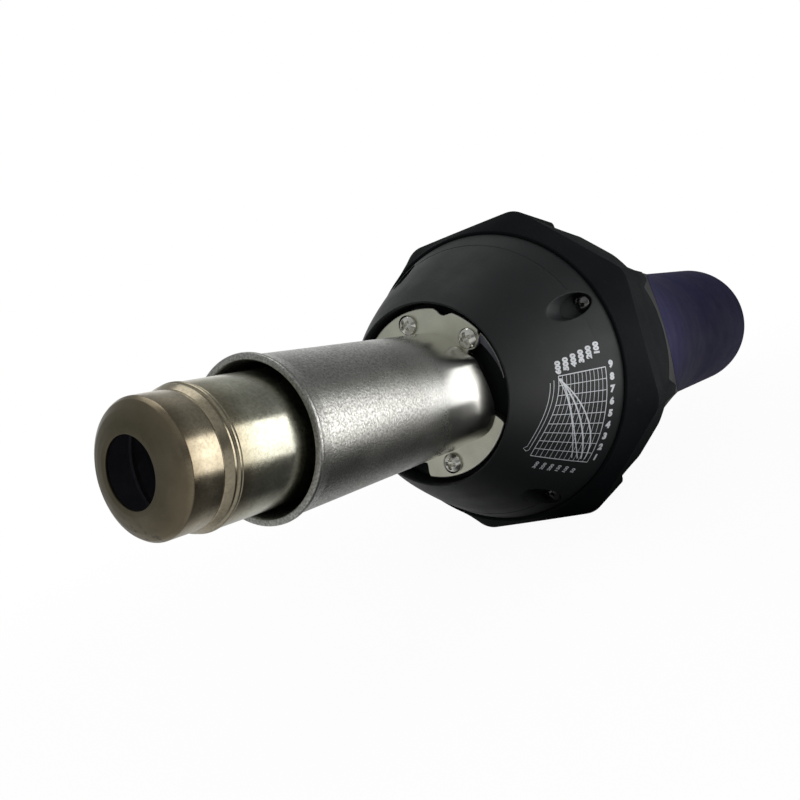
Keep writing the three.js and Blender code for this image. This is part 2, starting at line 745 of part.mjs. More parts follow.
const rockerWidth = switchWidth - 2 * switchWall - 2 * gap;
const pocketLength = rockerLength + 2 * pocketMargin;
const switchHousing = join(
  block(switchLength, switchWidth, switchDepth + gap, 0, 0, (gap - switchDepth) / 2),
  block(switchLength + 2 * bezelOverhang, switchWidth + 2 * bezelOverhang, bezelThickness, 0, 0,
    gap + bezelThickness / 2),
  ...[-1, 0, 1].map((side) => block(terminal.thickness, terminal.width, terminal.length,
    side * terminal.spacing, 0,
    terminal.root - switchDepth - terminal.length / 2)));
const rockerPocket = block(pocketLength, rockerWidth + 2 * gap, 2 * (rockerDepth + 2), 0, 0,
  bezelThickness + gap);
const switchGroup = new THREE.Group();
switchGroup.position.set(-switchStation, 0, switchTop);
switchGroup.rotation.y = -switchTilt;
tool.add(switchGroup);
piece(switchGroup, 'switch_body', cut(switchHousing, rockerPocket), blackPlastic);

// Rocker: a shallow V that pivots crosswise, resting in its off position
const rockerHalf = rockerLength / 2;
const rockerShape = new THREE.Shape([
  new THREE.Vector2(-rockerHalf, rockerEdge), new THREE.Vector2(-rockerHalf, -rockerEdge),
  new THREE.Vector2(0, rockerKeel - rockerDepth), new THREE.Vector2(rockerHalf, -rockerEdge),
  new THREE.Vector2(rockerHalf, rockerEdge), new THREE.Vector2(0, rockerCrown),
]);
const rockerBody = new THREE.ExtrudeGeometry(rockerShape, { depth: rockerWidth, bevelEnabled: false });
rockerBody.translate(0, 0, -rockerWidth / 2).rotateX(Math.PI / 2);
const rocker = piece(switchGroup, 'switch_rocker', rockerBody, blackPlastic);
rocker.position.z = gap + bezelThickness - pivotDrop;
rocker.rotation.y = rad(rockerTiltAngle);

// Handle: the indigo shell that slides on the core, with screw bosses for the rear cap and a seat for the
// dial
const skinInner = (station) => flare(station) - handleSkin;
const handleFront = tongueMiddle - tongueSwing - 4;
const shellStations = [handleFront, ...flareStations.filter((station) => station > handleFront)];
const handleOutline = [
  ...shellStations.map((station) => [station, flare(station)]),
  [toolLength - handleRound, handleRadius],
  [toolLength - handleRound * 0.3, handleRadius - handleRound * 0.3],
  [toolLength, handleRadius - handleRound],
  [toolLength, skinInner(toolLength)],
  ...shellStations.map((station) => [station, skinInner(station)]).reverse(),
];
const capEnd = toolLength - capInset;
const capFront = capEnd - capThickness;
const handleBore = skinInner(toolLength);
const capBossRadius = capScrew.shank + gap + bossWall;
const capScrewCircle = flatOf(handleBore) - capScrew.head - gap;
const capScrewAngles = [0, 180];
const capBosses = copies(rod(capBossRadius, capFront - gap - capScrew.length - 2, capFront - gap),
  handleBore
  - capBossRadius + handleSkin / 2, capScrewAngles);
const capPilots = copies(rod(capScrew.shank + gap, capFront - capScrew.length - 4, capEnd + 1, screwSides),
  capScrewCircle, capScrewAngles);
const dialFace = handleRadius - gap;
const toSide = (geometry) => geometry.rotateZ(Math.PI / 2).translate(-dialStation, 0, 0);
const dialBore = toSide(rod(clearOf(dialRadius, innerSides), 10, handleRadius + 1));
const dialSeat = toSide(rod(dialRadius + dialSeatMargin, handleRadius - dialSeatDepth, handleRadius + 1));
piece(tool, 'handle_shell',
  cut(join(turned(handleOutline), ...capBosses), tongueRing(gap), ...capPilots, dialBore, dialSeat),
    indigoPlastic);

// Impeller: a plate with swept blades on a hub, and the nut that holds it
const impellerBack = impellerFront + impellerPlate;
const bladeSteps = 4;
const bladeSide = (side) => Array.from({ length: bladeSteps + 1 }, (_, i) => {
  const share = i / bladeSteps;
  const radius = eyeRadius + (impellerRadius - 1 - eyeRadius) * share;
  return spot(radius, -bladeSweepAngle * share + THREE.MathUtils.radToDeg((side * bladeThickness) / 2
    / radius));
});
const blade = drawn(new THREE.Shape([...bladeSide(1), ...bladeSide(-1).reverse()]), impellerBack - 0.5,
  impellerBack + bladeHeight);
const shaftBore = clearOf(shaftRadius, innerSides);
const impellerBody = join(
  rod(impellerRadius, impellerFront, impellerBack, roundSides),
  rod(hubRadius, impellerFront, impellerBack + bladeHeight),
  ...copies(blade, 0, ringAngles(bladeCount)));
piece(tool, 'impeller', cut(impellerBody, rod(shaftBore, impellerFront - 1,
  impellerBack + bladeHeight + 1)),
  greyPlastic);
const nutEnd = impellerFront - gap;
const shaftFront = nutEnd - nutThickness - 1;
piece(tool, 'impeller_nut', cut(rod(nutRadius, nutEnd - nutThickness, nutEnd, 6),
  rod(shaftBore, shaftFront, nutEnd + 1)),
  brass);

// Motor: can with magnets, armature on its shaft in two bearings, end shield with brushes
const canEnd = motorFront + canLength;
const canInner = motorRadius - canWall;
const seatInner = clearOf(bearingRadius, innerSides);
const canFace = motorFront + canWall;
const canOutline = [
  [motorFront, shaftRadius + shaftClearance], [motorFront, motorRadius], [canEnd, motorRadius],
    [canEnd, canInner],
  [canFace, canInner], [canFace, seatInner + seatWall], [canFace + bearingWidth, seatInner + seatWall],
  [canFace + bearingWidth, seatInner], [canFace, seatInner], [canFace, shaftRadius + shaftClearance],
];
piece(tool, 'motor_can', turned(canOutline, innerSides), satinSteel);
piece(tool, 'motor_ring',
  pipe(clearOf(motorRadius, innerSides), ringOuter, motorFront + ringOffset,
    motorFront + ringOffset + ringLength), blackRubber);

const magnetOuter = flatOf(canInner, innerSides) - gap;
[90, 270].forEach((middle, i) => piece(tool, `magnet_${i + 1}`,
  sector(magnetOuter - magnetThickness, magnetOuter, middle - magnetAngle / 2, middle + magnetAngle / 2,
    canFace + bearingWidth + magnetMargin, canEnd - magnetMargin, 6), carbon));

const bearing = (from) => turned([
  [from, shaftBore], [from, shaftBore + raceThickness], [from + raceGroove, shaftBore + raceThickness],
  [from + raceGroove, bearingRadius - raceThickness], [from, bearingRadius - raceThickness],
    [from, bearingRadius],
  [from + bearingWidth - gap, bearingRadius], [from + bearingWidth - gap, shaftBore],
], innerSides);
piece(tool, 'bearing_front', bearing(canFace + gap), brightSteel);

const shieldFront = canEnd + gap;
const shieldEnd = shieldFront + shieldLength;
const shieldInner = motorRadius - shieldWall;
const shieldDisc = shieldEnd - shieldPlate;
const shieldOutline = [
  [shieldFront, shieldInner], [shieldFront, motorRadius], [shieldEnd, motorRadius],
    [shieldEnd, shaftRadius + shaftClearance],
  [shieldDisc, shaftRadius + shaftClearance], [shieldDisc, seatInner],
    [shieldDisc - bearingWidth, seatInner],
  [shieldDisc - bearingWidth, seatInner + seatWall], [shieldDisc, seatInner + seatWall],
    [shieldDisc, shieldInner],
];
const ventHoles = copies(rod(shieldVents.radius, shieldDisc - 1, shieldEnd + 1, screwSides),
  shieldVents.circle,
  ringAngles(shieldVents.count));
piece(tool, 'end_shield', cut(turned(shieldOutline, innerSides), ...ventHoles), greyPlastic);
piece(tool, 'bearing_rear', bearing(shieldDisc - bearingWidth), brightSteel);

piece(tool, 'motor_shaft', turned([
  [shaftFront, 0], [shaftFront, shaftRadius - edgeChamfer], [shaftFront + edgeChamfer, shaftRadius],
  [shaftEnd - edgeChamfer, shaftRadius], [shaftEnd, shaftRadius - edgeChamfer], [shaftEnd, 0]], innerSides),
    brightSteel);

const halfPitch = 180 / armatureSlots;
const slotAngle = (radius) => THREE.MathUtils.radToDeg(Math.asin(slotHalfWidth / radius));
const armatureShape = new THREE.Shape(ringAngles(armatureSlots).flatMap((tooth) => [
  spot(slotFloor, tooth - halfPitch + slotAngle(slotFloor)),
  spot(armatureRadius, tooth - halfPitch + slotAngle(armatureRadius)),
  spot(armatureRadius, tooth),
  spot(armatureRadius, tooth + halfPitch - slotAngle(armatureRadius)),
  spot(slotFloor, tooth + halfPitch - slotAngle(slotFloor)),
]));
const armatureEnd = armatureFront + armatureLength;
piece(tool, 'armature_core',
  cut(drawn(armatureShape, armatureFront, armatureEnd), rod(shaftBore, armatureFront - 1, armatureEnd + 1)),
    satinSteel);

const windingOuter = armatureRadius - windingInset;
const windingBars = copies(
  block(armatureLength + 2 * gap + 1, 2 * (slotHalfWidth - gap), windingOuter - slotFloor - gap,
    -(armatureFront + armatureEnd) / 2),
  (windingOuter + slotFloor + gap) / 2, ringAngles(armatureSlots, halfPitch));
const windingHeads = [armatureFront - gap - windingHead, armatureEnd + gap].map((from) =>
  pipe(shaftRadius + shaftClearance, windingOuter, from, from + windingHead, innerSides));
piece(tool, 'armature_winding', join(...windingHeads, ...windingBars), copper);

const commutatorFront = brushStation - commutatorLength / 2;
const segmentGrooves = copies(block(commutatorLength + 2, segmentGroove, 2 * segmentGroove, -brushStation),
  commutatorRadius,
  ringAngles(armatureSlots));
piece(tool, 'commutator',
  cut(pipe(shaftBore, commutatorRadius, commutatorFront, commutatorFront + commutatorLength, 24),
    ...segmentGrooves),
  copper);

// Brush gear on both sides of the commutator, drawn upright about its own origin on the axis
const brushFoot = commutatorRadius + gap;
const holderFoot = brushFoot + holderStandoff;
const holderTop = flatOf(shieldInner, innerSides) - gap - holderInset;
const holderDepth = brushHeight + 2 * (gap + holderWall);
const holderBody = cut(
  block(brushWidth + 2 * (gap + holderWall), holderDepth, holderTop - holderFoot, 0, 0,
    (holderTop + holderFoot) / 2),
  block(brushWidth + 2 * gap, brushHeight + 2 * gap, holderTop - holderFoot, 0, 0,
    (holderTop + holderFoot) / 2 - holderWall));
const brushBody = block(brushWidth, brushHeight, brushLength, 0, 0, brushFoot + brushLength / 2);
const springFoot = brushFoot + brushLength + gap + springWire;
const springTop = holderTop - holderWall - gap - springWire;

class Helix extends THREE.Curve {
  getPoint(share, target = new THREE.Vector3()) {
    const turn = 2 * Math.PI * springTurns * share;
    const radius = brushWidth / 2 - springWire - springMargin;
    return target.set(radius * Math.cos(turn), radius * Math.sin(turn),
      springFoot + (springTop - springFoot) * share);
  }
}
const wireSection = new THREE.Shape(ringAngles(5).map((angle) => spot(springWire, angle)));
const springBody = new THREE.ExtrudeGeometry(wireSection, {
  steps: 8 * springTurns, extrudePath: new Helix(), bevelEnabled: false });
const springPitch = (springTop - springFoot) / springTurns;
console.log(`least gap between the turns of a brush spring ${(springPitch - 2 * springWire).toFixed(2)} mm`);
[90, 270].forEach((angle, i) => {
  const side = new THREE.Group();
  side.position.x = -brushStation;
  side.rotation.x = -rad(angle);
  tool.add(side);
  piece(side, `brush_holder_${i + 1}`, holderBody, brass);
  piece(side, `carbon_brush_${i + 1}`, brushBody, carbon);
  piece(side, `brush_spring_${i + 1}`, springBody, brightSteel);
});

// Control board on the core's inner wall, with its heat sink and the potentiometer that the dial turns
const boardTop = -(potRadius + gap);
const boardHalf = Math.sqrt((flatOf(coreInner(spigotEnd)) - gap) ** 2 - (boardTop - boardThickness) ** 2);
piece(tool, 'control_board',
  block(boardEnd - boardFront, 2 * boardHalf, boardThickness, -(boardFront + boardEnd) / 2, 0,
    boardTop - boardThickness / 2), boardGreen);
const sinkStation = boardFront + sinkLength / 2 + sinkOffset;
const fins = Array.from({ length: finCount }, (_, i) =>
  block(sinkLength, finThickness, finHeight, 0, (sinkWidth - finThickness) * (i / (finCount - 1) - 0.5),
    finHeight / 2));
piece(tool, 'heat_sink', join(block(sinkLength, sinkWidth, sinkPlate, 0, 0, sinkPlate / 2), ...fins),
  aluminium)
  .position.set(-sinkStation, 0, boardTop + gap);

const dialBack = dialFace - dialThickness;
const potFace = dialBack - hubLength - gap;
const pointer = block(2 * dialSlot.depth, dialSlot.length, dialSlot.width, -dialFace);
const dialOutline = [
  [dialFace, 0], [dialFace, dialRadius - dialChamfer], [dialFace - dialChamfer, dialRadius],
    [dialBack, dialRadius],
  [dialBack, potShaftRadius + hubWall], [dialBack - hubLength, potShaftRadius + hubWall],
    [dialBack - hubLength, 0],
];
const hubBore = clearOf(potShaftRadius, innerSides);
const dial = cut(turned(dialOutline, innerSides), rod(hubBore, 0, dialBack + shaftSeat), pointer);
const potShaftFront = potFace - potThickness + potFloor;
const dialGroup = new THREE.Group();
dialGroup.position.x = -dialStation;
dialGroup.rotation.z = Math.PI / 2;
tool.add(dialGroup);
piece(dialGroup, 'temperature_dial', dial, blackPlastic);
piece(dialGroup, 'pot_shaft', rod(potShaftRadius, potShaftFront, dialBack + shaftSeat - gap), brass);
piece(dialGroup, 'potentiometer',
  cut(rod(potRadius, potFace - potThickness, potFace), rod(hubBore, potShaftFront - gap, potFace + 1)),
    greyPlastic);

// Rear cap with air slots, the slide that covers them, the filter, the gland and the cap's screws
const slotSpan = (360 / inletSlots) * slotShare;
const airSlots = (from, to) => ringAngles(inletSlots).map((angle) =>
  sector(slotInner, slotOuter, angle - slotSpan / 2, angle + slotSpan / 2, from - 1, to + 1, 1));
const glandClear = clearOf(glandRadius, innerSides);
piece(tool, 'rear_cap',
  cut(pipe(glandClear, flatOf(handleBore) - gap, capFront, capEnd, roundSides),
    ...airSlots(capFront, capEnd), ...capPilots),
  blackPlastic);
capScrewAngles.forEach((angle, i) => pieceAt(tool, `cap_screw_${i + 1}`,
  crossScrew(capScrew).rotateY(Math.PI), brightSteel,
  capEnd + gap, capScrewCircle, angle));

const slideFront = capEnd + gap;
const slideEnd = slideFront + slideThickness;
const tab = block(slideTab.height + slideThickness, slideTab.width, slideTab.thickness,
  (slideThickness - slideTab.height) / 2 - slideEnd, 0,
    slideRadius - slideTab.thickness / 2 - slideTab.inset);
const slideBody = join(pipe(glandClear, slideRadius, slideFront, slideEnd),
  tab.rotateX(-rad(180 / inletSlots)));
piece(tool, 'air_slide', cut(slideBody, ...airSlots(slideFront, slideEnd)), blackPlastic);

const glandFront = slideEnd + gap;
const glandOutline = [
  [toolLength - glandLength, glandBore], [toolLength - glandLength, glandRadius], [glandFront, glandRadius],
  [glandFront, glandFlange], [glandFront + glandRim.thickness - glandRim.chamfer, glandFlange],
  [glandFront + glandRim.thickness, glandFlange - glandRim.chamfer],
  [glandFront + glandRim.thickness, glandRadius - glandNose.frontInset],
  [glandFront + glandNose.length, glandRadius - glandNose.rearInset],
    [glandFront + glandNose.length, glandBore],
];
piece(tool, 'cord_gland', turned(glandOutline, innerSides), blackRubber);
piece(tool, 'dust_filter',
  pipe(glandClear, handleBore - 2 * capBossRadius + handleSkin / 2 - gap, capFront - gap - filterThickness,
    capFront - gap, innerSides), foam);

// Rest the tool on its stand and its rear end, with the middle of its box above the origin
const group = new THREE.Group();
tool.rotation.y = -restTilt;
group.add(tool);
group.updateMatrixWorld(true);
const box = new THREE.Box3().setFromObject(group, true);
tool.position.set(-(box.min.x + box.max.x) / 2, -(box.min.y + box.max.y) / 2, -box.min.z);

export default group;
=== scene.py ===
import bpy
import bmesh
from math import atan, atan2, cos, degrees as in_degrees, hypot, pi, radians, sin, sqrt, tan
from mathutils import Matrix, Vector
from mathutils.geometry import delaunay_2d_cdt


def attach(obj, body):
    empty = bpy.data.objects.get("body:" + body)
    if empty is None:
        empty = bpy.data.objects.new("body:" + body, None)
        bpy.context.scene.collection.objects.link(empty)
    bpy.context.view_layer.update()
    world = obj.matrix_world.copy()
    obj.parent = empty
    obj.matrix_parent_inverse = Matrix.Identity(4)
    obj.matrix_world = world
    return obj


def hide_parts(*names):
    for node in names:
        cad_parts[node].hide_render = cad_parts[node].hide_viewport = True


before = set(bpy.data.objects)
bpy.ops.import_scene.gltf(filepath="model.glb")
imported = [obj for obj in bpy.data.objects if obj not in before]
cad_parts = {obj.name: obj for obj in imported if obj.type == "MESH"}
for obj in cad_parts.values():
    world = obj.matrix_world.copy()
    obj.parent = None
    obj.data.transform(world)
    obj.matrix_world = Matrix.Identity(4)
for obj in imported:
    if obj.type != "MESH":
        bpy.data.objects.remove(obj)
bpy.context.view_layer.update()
scene = bpy.context.scene

# Shapes are in millimetres and places in metres
MM = 0.001
QUARTER = pi / 2


def axes_frame(x, y, z, place):
    """A frame with its three axes and its origin given."""
    return Matrix.Translation(place) @ Matrix((x, y, z)).transposed().to_4x4()


# Camera, at the photograph's place and angle
CAMERA_PLACE = (0.269334, 0.136693, 0.072305)
CAMERA_RIGHT = Vector((-0.546472, 0.774379, -0.318912))
CAMERA_UP = Vector((-0.248124, 0.213996, 0.944796))
camera_data = bpy.data.cameras.new("camera")
camera_data.lens = 38.03
camera_data.sensor_width = 36.0
camera_data.clip_start = 0.01
camera = bpy.data.objects.new("camera", camera_data)
scene.collection.objects.link(camera)
scene.camera = camera
camera.matrix_world = axes_frame(CAMERA_RIGHT, CAMERA_UP, CAMERA_RIGHT.cross(CAMERA_UP), CAMERA_PLACE)

# The tool's own frame: a station s (mm behind the mouth) lies at x = -s, angles run from its top towards +Y
MOUTH = (0.1736816, 0.0, 0.0635929)
TILT = radians(5.890672)
ROLL = radians(25.4)
TOOL = Matrix.Translation(MOUTH) @ Matrix.Rotation(-TILT, 4, "Y")
ROLLED = TOOL @ Matrix.Rotation(-ROLL, 4, "X")
SIDES = 192
# Radius of the tiny ring that closes a shape on its axis
AXIS = 0.001


# Mesh helpers
def spot(s, r, degrees):
    a = radians(degrees)
    return (-s, r * sin(a), r * cos(a))


def round_angles(count):
    return [360 * j / count for j in range(count)]


def circle(s, r, sides):
    return [spot(s, r, a) for a in round_angles(sides)]


def ease(t):
    """Rises smoothly from 0 at 0 to 1 at 1, and stays there."""
    t = min(max(t, 0.0), 1.0)
    return t * t * (3 - 2 * t)


def blend(x, low, high):
    """Rises smoothly from 0 at low to 1 at high."""
    return ease((x - low) / (high - low))


def flap(degrees, start, full, fade, end):
    """1 over a part of the turn, 0 elsewhere, with smooth sides."""
    a = degrees % 360
    return blend(a, start, full) * (1 - blend(a, fade, end))


def bezier(a, p, b, steps):
    out = []
    for i in range(steps + 1):
        t = i / steps
        out.append(tuple((1 - t) ** 2 * a[k] + 2 * t * (1 - t) * p[k] + t * t * b[k] for k in range(2)))
    return out


def soften(points, closed=True, steps=4):
    """Rounds the corners of a chain of (x, y, radius) points."""
    out = []
    n = len(points)
    for i, (x, y, radius) in enumerate(points):
        if radius <= 0 or (not closed and i in (0, n - 1)):
            out.append((x, y))
            continue
        p = Vector((x, y))
        a = Vector(points[i - 1][:2]) - p
        b = Vector(points[(i + 1) % n][:2]) - p
        half = a.angle(b) / 2
        reach = min(radius / max(tan(half), 1e-6), 0.48 * a.length, 0.48 * b.length)
        out += bezier(p + a.normalized() * reach, (x, y), p + b.normalized() * reach, steps)
    return out


def grid(rows, closed_rows=True):
    """Vertices and quads through rows of points; each row is a closed ring."""
    verts, faces = [], []
    width = len(rows[0])
    for row in rows:
        verts += row
    n = len(rows)
    for i in range(n if closed_rows else n - 1):
        k = (i + 1) % n
        for j in range(width):
            m = (j + 1) % width
            faces.append((i * width + j, i * width + m, k * width + m, k * width + j))
    return verts, faces


def lathe(outline, sides=SIDES, closed=True):
    """Vertices and quads of a loop of (station, radius) turned about the axis."""
    return grid([circle(s, r, sides) for s, r in outline], closed)


def merge(*shells):
    verts, faces = [], []
    for v, f in shells:
        base = len(verts)
        verts += v
        faces += [tuple(base + i for i in face) for face in f]
    return verts, faces


def moved(shell, matrix):
    verts, faces = shell
    return [tuple(matrix @ Vector(v)) for v in verts], faces


def beside(shell, y, z):
    """A shell shifted off the axis."""
    verts, faces = shell
    return [(px, py + y, pz + z) for px, py, pz in verts], faces


def cylinder(radius, start, end, y, z, sides=28):
    """A closed rod along the axis from station start to station end."""
    return beside(lathe([(start, AXIS), (start, radius), (end, radius), (end, AXIS)], sides), y, z)


def rounded_box(size, radius, steps, centre=(0, 0, 0)):
    """A box with rounded edges."""
    bm = bmesh.new()
    bmesh.ops.create_cube(bm, size=1.0)
    for v in bm.verts:
        v.co = Vector((v.co.x * size[0], v.co.y * size[1], v.co.z * size[2]))
    bmesh.ops.bevel(bm, geom=bm.edges[:], offset=radius, segments=steps, affect="EDGES", profile=0.5)
    verts = [(v.co.x + centre[0], v.co.y + centre[1], v.co.z + centre[2]) for v in bm.verts]
    faces = [tuple(v.index for v in f.verts) for f in bm.faces]
    bm.free()
    return verts, faces


def start_mesh(name, shell, weld):
    """A mesh in metres and its editable copy, with vertices closer than weld (mm) joined."""
    verts, faces = shell
    mesh = bpy.data.meshes.new(name)
    mesh.from_pydata([Vector(v) * MM for v in verts], [], faces)
    bm = bmesh.new()
    bm.from_mesh(mesh)
    bmesh.ops.remove_doubles(bm, verts=bm.verts[:], dist=weld * MM)
    return mesh, bm


def shade(bm, angle):
    """Smooth faces, with hard edges where they meet at more than an angle."""
    for face in bm.faces:
        face.smooth = True
    for edge in bm.edges:
        edge.smooth = len(edge.link_faces) == 2 and edge.calc_face_angle(0.0) < radians(angle)


def build(name, shell, matrix, material, body="tool", replaces=None, angle=38,
          recalc=True, weld=1e-4):
    """A piece from millimetre vertices, in its place on its body."""
    mesh, bm = start_mesh(name, shell, weld)
    bmesh.ops.dissolve_degenerate(bm, dist=1e-8, edges=bm.edges[:])
    if recalc:
        bmesh.ops.recalc_face_normals(bm, faces=bm.faces[:])
    shade(bm, angle)
    bm.to_mesh(mesh)
    bm.free()
    mesh.materials.append(material)
    piece = bpy.data.objects.new(name, mesh)
    scene.collection.objects.link(piece)
    piece.matrix_world = matrix
    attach(piece, body)
    if replaces:
        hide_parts(replaces)
    return piece


def cutter(shell, matrix):
    """A closed mesh for cut_with."""
    mesh, bm = start_mesh("cutter", shell, 0.001)
    bmesh.ops.recalc_face_normals(bm, faces=bm.faces[:])
    bm.to_mesh(mesh)
    bm.free()
    tool = bpy.data.objects.new("cutter", mesh)
    scene.collection.objects.link(tool)
    tool.matrix_world = matrix
    return tool


def cut_with(piece, *tools):
    """Cuts closed meshes out of a piece and drops them."""
    for tool in tools:
        modifier = piece.modifiers.new("cut", "BOOLEAN")
        modifier.operation = "DIFFERENCE"
        modifier.solver = "EXACT"
        modifier.object = tool
    bpy.context.view_layer.update()
    evaluated = piece.evaluated_get(bpy.context.evaluated_depsgraph_get())
    mesh = bpy.data.meshes.new_from_object(evaluated)
    piece.modifiers.clear()
    uncut = piece.data
    piece.data = mesh
    bpy.data.meshes.remove(uncut)
    for tool in tools:
        bpy.data.objects.remove(tool)
    bm = bmesh.new()
    bm.from_mesh(mesh)
    shade(bm, 35)
    bm.to_mesh(mesh)
    bm.free()


def paint(piece, material, where):
    """Gives another material to the faces for which where(face) holds."""
    piece.data.materials.append(material)
    index = len(piece.data.materials) - 1
    for face in piece.data.polygons:
        if where(face):
            face.material_index = index


def face_radius(face):
    return hypot(face.center.y, face.center.z) / MM


# Node helpers
class Tree:
    """Short names for the nodes of one node tree."""

    def __init__(self, tree):
        self.tree = tree
        tree.nodes.clear()

    def new(self, kind):
        return self.tree.nodes.new("ShaderNode" + kind)

    def link(self, a, b):
        self.tree.links.new(a, b)

    def feed(self, socket, value):
        """Gives a socket another node's output, a number or a colour."""
        if hasattr(value, "links"):
            self.link(value, socket)
        else:
            socket.default_value = (*value, 1.0) if isinstance(value, tuple) else value

    def span(self, value, low, high, to_low=0.0, to_high=1.0):
        """Maps a range onto another, and holds its ends."""
        node = self.new("MapRange")
        for key, number in zip(("From Min", "From Max", "To Min", "To Max"), (low, high, to_low, to_high)):
            node.inputs[key].default_value = number
        self.link(value, node.inputs["Value"])
        return node.outputs["Result"]

    def math(self, operation, *values):
        node = self.new("Math")
        node.operation = operation
        for socket, value in zip(node.inputs, values):
            self.feed(socket, value)
        return node.outputs[0]

    def mix(self, factor, a, b):
        node = self.new("Mix")
        node.data_type = "RGBA"
        self.feed(node.inputs["Factor"], factor)
        self.feed(node.inputs[6], a)
        self.feed(node.inputs[7], b)
        return node.outputs[2]

    def split(self, vector):
        node = self.new("SeparateXYZ")
        self.link(vector, node.inputs[0])
        return node.outputs

    def mix_shaders(self, factor, first, second, target):
        node = self.new("MixShader")
        for socket, source in zip(node.inputs, (factor, first.outputs[0], second.outputs[0])):
            self.link(source, socket)
        self.link(node.outputs[0], self.new(target).inputs["Surface"])


class Finish(Tree):
    """A material with one Principled shader, laid out in the piece's own coordinates."""

    def __init__(self, name, **values):
        self.material = bpy.data.materials.new(name)
        self.material.use_nodes = True
        super().__init__(self.material.node_tree)
        self.shader = self.new("BsdfPrincipled")
        self.link(self.shader.outputs["BSDF"], self.new("OutputMaterial").inputs["Surface"])
        self.coords = self.new("TexCoord").outputs["Object"]
        for key, value in values.items():
            self.shader.inputs[key.replace("_", " ")].default_value = value

    def noise(self, scale, detail, rough=0.55):
        node = self.new("TexNoise")
        for key, number in (("Scale", scale), ("Detail", detail), ("Roughness", rough)):
            node.inputs[key].default_value = number
        self.link(self.coords, node.inputs["Vector"])
        return node.outputs["Fac"]

    def mottle(self, scale, detail, low, high, spread=0.2, rough=0.55):
        """Noise round its middle value, stretched to a range of its own."""
        return self.span(self.noise(scale, detail, rough), 0.5 - spread, 0.5 + spread, low, high)

    def ramp(self, value, stops):
        node = self.new("ValToRGB")
        elements = node.color_ramp.elements
        while len(elements) < len(stops):
            elements.new(1.0)
        for element, (position, color) in zip(elements, stops):
            element.position = position
            element.color = (*color, 1.0)
        self.link(value, node.inputs["Fac"])
        return node.outputs["Color"]

    def above(self, value, low, high):
        """Black below low and white above high, as a colour ramp."""
        return self.ramp(value, [(0.0, (0, 0, 0)), (low, (0, 0, 0)), (high, (1, 1, 1))])

    def color(self, socket):
        self.link(socket, self.shader.inputs["Base Color"])

    def rough(self, socket):
        self.link(socket, self.shader.inputs["Roughness"])

    def bump(self, height, strength, distance, normal=None):
        node = self.new("Bump")
        node.inputs["Strength"].default_value = strength
        node.inputs["Distance"].default_value = distance
        self.link(height, node.inputs["Height"])
        if normal is not None:
            self.link(normal, node.inputs["Normal"])
        self.link(node.outputs["Normal"], self.shader.inputs["Normal"])
        return node.outputs["Normal"]


# Materials
def worn(name, base, other, roughness, metallic=0.0, mottle=60.0, grain=2600.0, relief=0.15, depth=0.00008):
    """A finish with a slow change of colour, uneven gloss and a fine grain."""
    n = Finish(name, Metallic=metallic)
    n.color(n.mix(n.mottle(mottle, 5.0, 0.0, 1.0), base, other))
    n.rough(n.mottle(mottle * 4.0, 6.0, roughness - 0.08, roughness + 0.08))
    n.bump(n.noise(grain, 2.0, 0.6), relief, depth)
    return n.material


def moulded(name, base, other, roughness, specular=0.5, grain=2200.0, relief=0.2, dust=0.06):
    """Moulded plastic or rubber: fine spark-eroded grain, slight mottling and specks of dust."""
    n = Finish(name, Specular_IOR_Level=specular)
    tone = n.mix(n.mottle(38.0, 5.0, 0.0, 1.0, spread=0.18), base, other)
    fleck = n.above(n.noise(520.0, 4.0, 0.7), 0.62, 0.78)
    n.color(n.mix(n.math("MULTIPLY", fleck, dust), tone, (0.16, 0.16, 0.15)))
    uneven = n.mottle(120.0, 5.0, roughness - 0.05, roughness + 0.06)
    n.rough(n.math("ADD", uneven, n.mottle(grain, 1.0, -0.03, 0.03)))
    n.bump(n.noise(grain, 2.0, 0.65), relief, 0.00006)
    return n.material


def heated_steel():
    """Stainless tube tinted by its own heat: brown at the cap, straw along the neck, grey further back."""
    n = Finish("heated_steel", Metallic=1.0)
    axes = n.split(n.coords)
    along = n.math("MULTIPLY", axes["X"], -1.0)
    wobble = n.span(n.noise(70.0, 3.0), 0.0, 1.0, -0.0016, 0.0016)
    station = n.span(n.math("ADD", along, wobble), 0.0, 0.06)
    tint = n.ramp(station, [
        (0.0, (0.115, 0.100, 0.064)), (0.035, (0.17, 0.142, 0.092)), (0.06, (0.32, 0.265, 0.18)),
        (0.11, (0.56, 0.49, 0.36)), (0.19, (0.44, 0.385, 0.28)), (0.25, (0.42, 0.38, 0.275)),
        (0.34, (0.66, 0.655, 0.53)), (0.52, (0.62, 0.625, 0.54)), (1.0, (0.50, 0.505, 0.47))])
    blotches = n.span(n.noise(160.0, 6.0, 0.6), 0.35, 0.75, 0.0, 0.35)
    tint = n.mix(blotches, tint, (0.24, 0.20, 0.15))
    patina = n.span(n.noise(1500.0, 3.0, 0.6), 0.42, 0.72, 0.0, 0.34)
    tint = n.mix(patina, tint, (0.15, 0.125, 0.09))
    specks = n.above(n.noise(900.0, 2.0, 0.5), 0.55, 0.62)
    low = n.span(axes["Z"], -0.0140, -0.0090, 1.0, 0.0)
    front = n.span(along, 0.0015, 0.0075, 1.0, 0.0)
    dirt = n.math("MULTIPLY", n.math("MULTIPLY", low, front), specks)
    n.color(n.mix(n.math("MULTIPLY", dirt, 0.85), tint, (0.02, 0.017, 0.014)))
    cap_dull = n.span(along, 0.0, 0.0034, 0.42, 0.19)
    n.rough(n.math("ADD", cap_dull, n.mottle(240.0, 5.0, -0.03, 0.10)))
    fine = n.bump(n.noise(2400.0, 2.0), 0.10, 0.00004)
    n.bump(n.noise(120.0, 3.0), 0.10, 0.0004, fine)
    return n.material


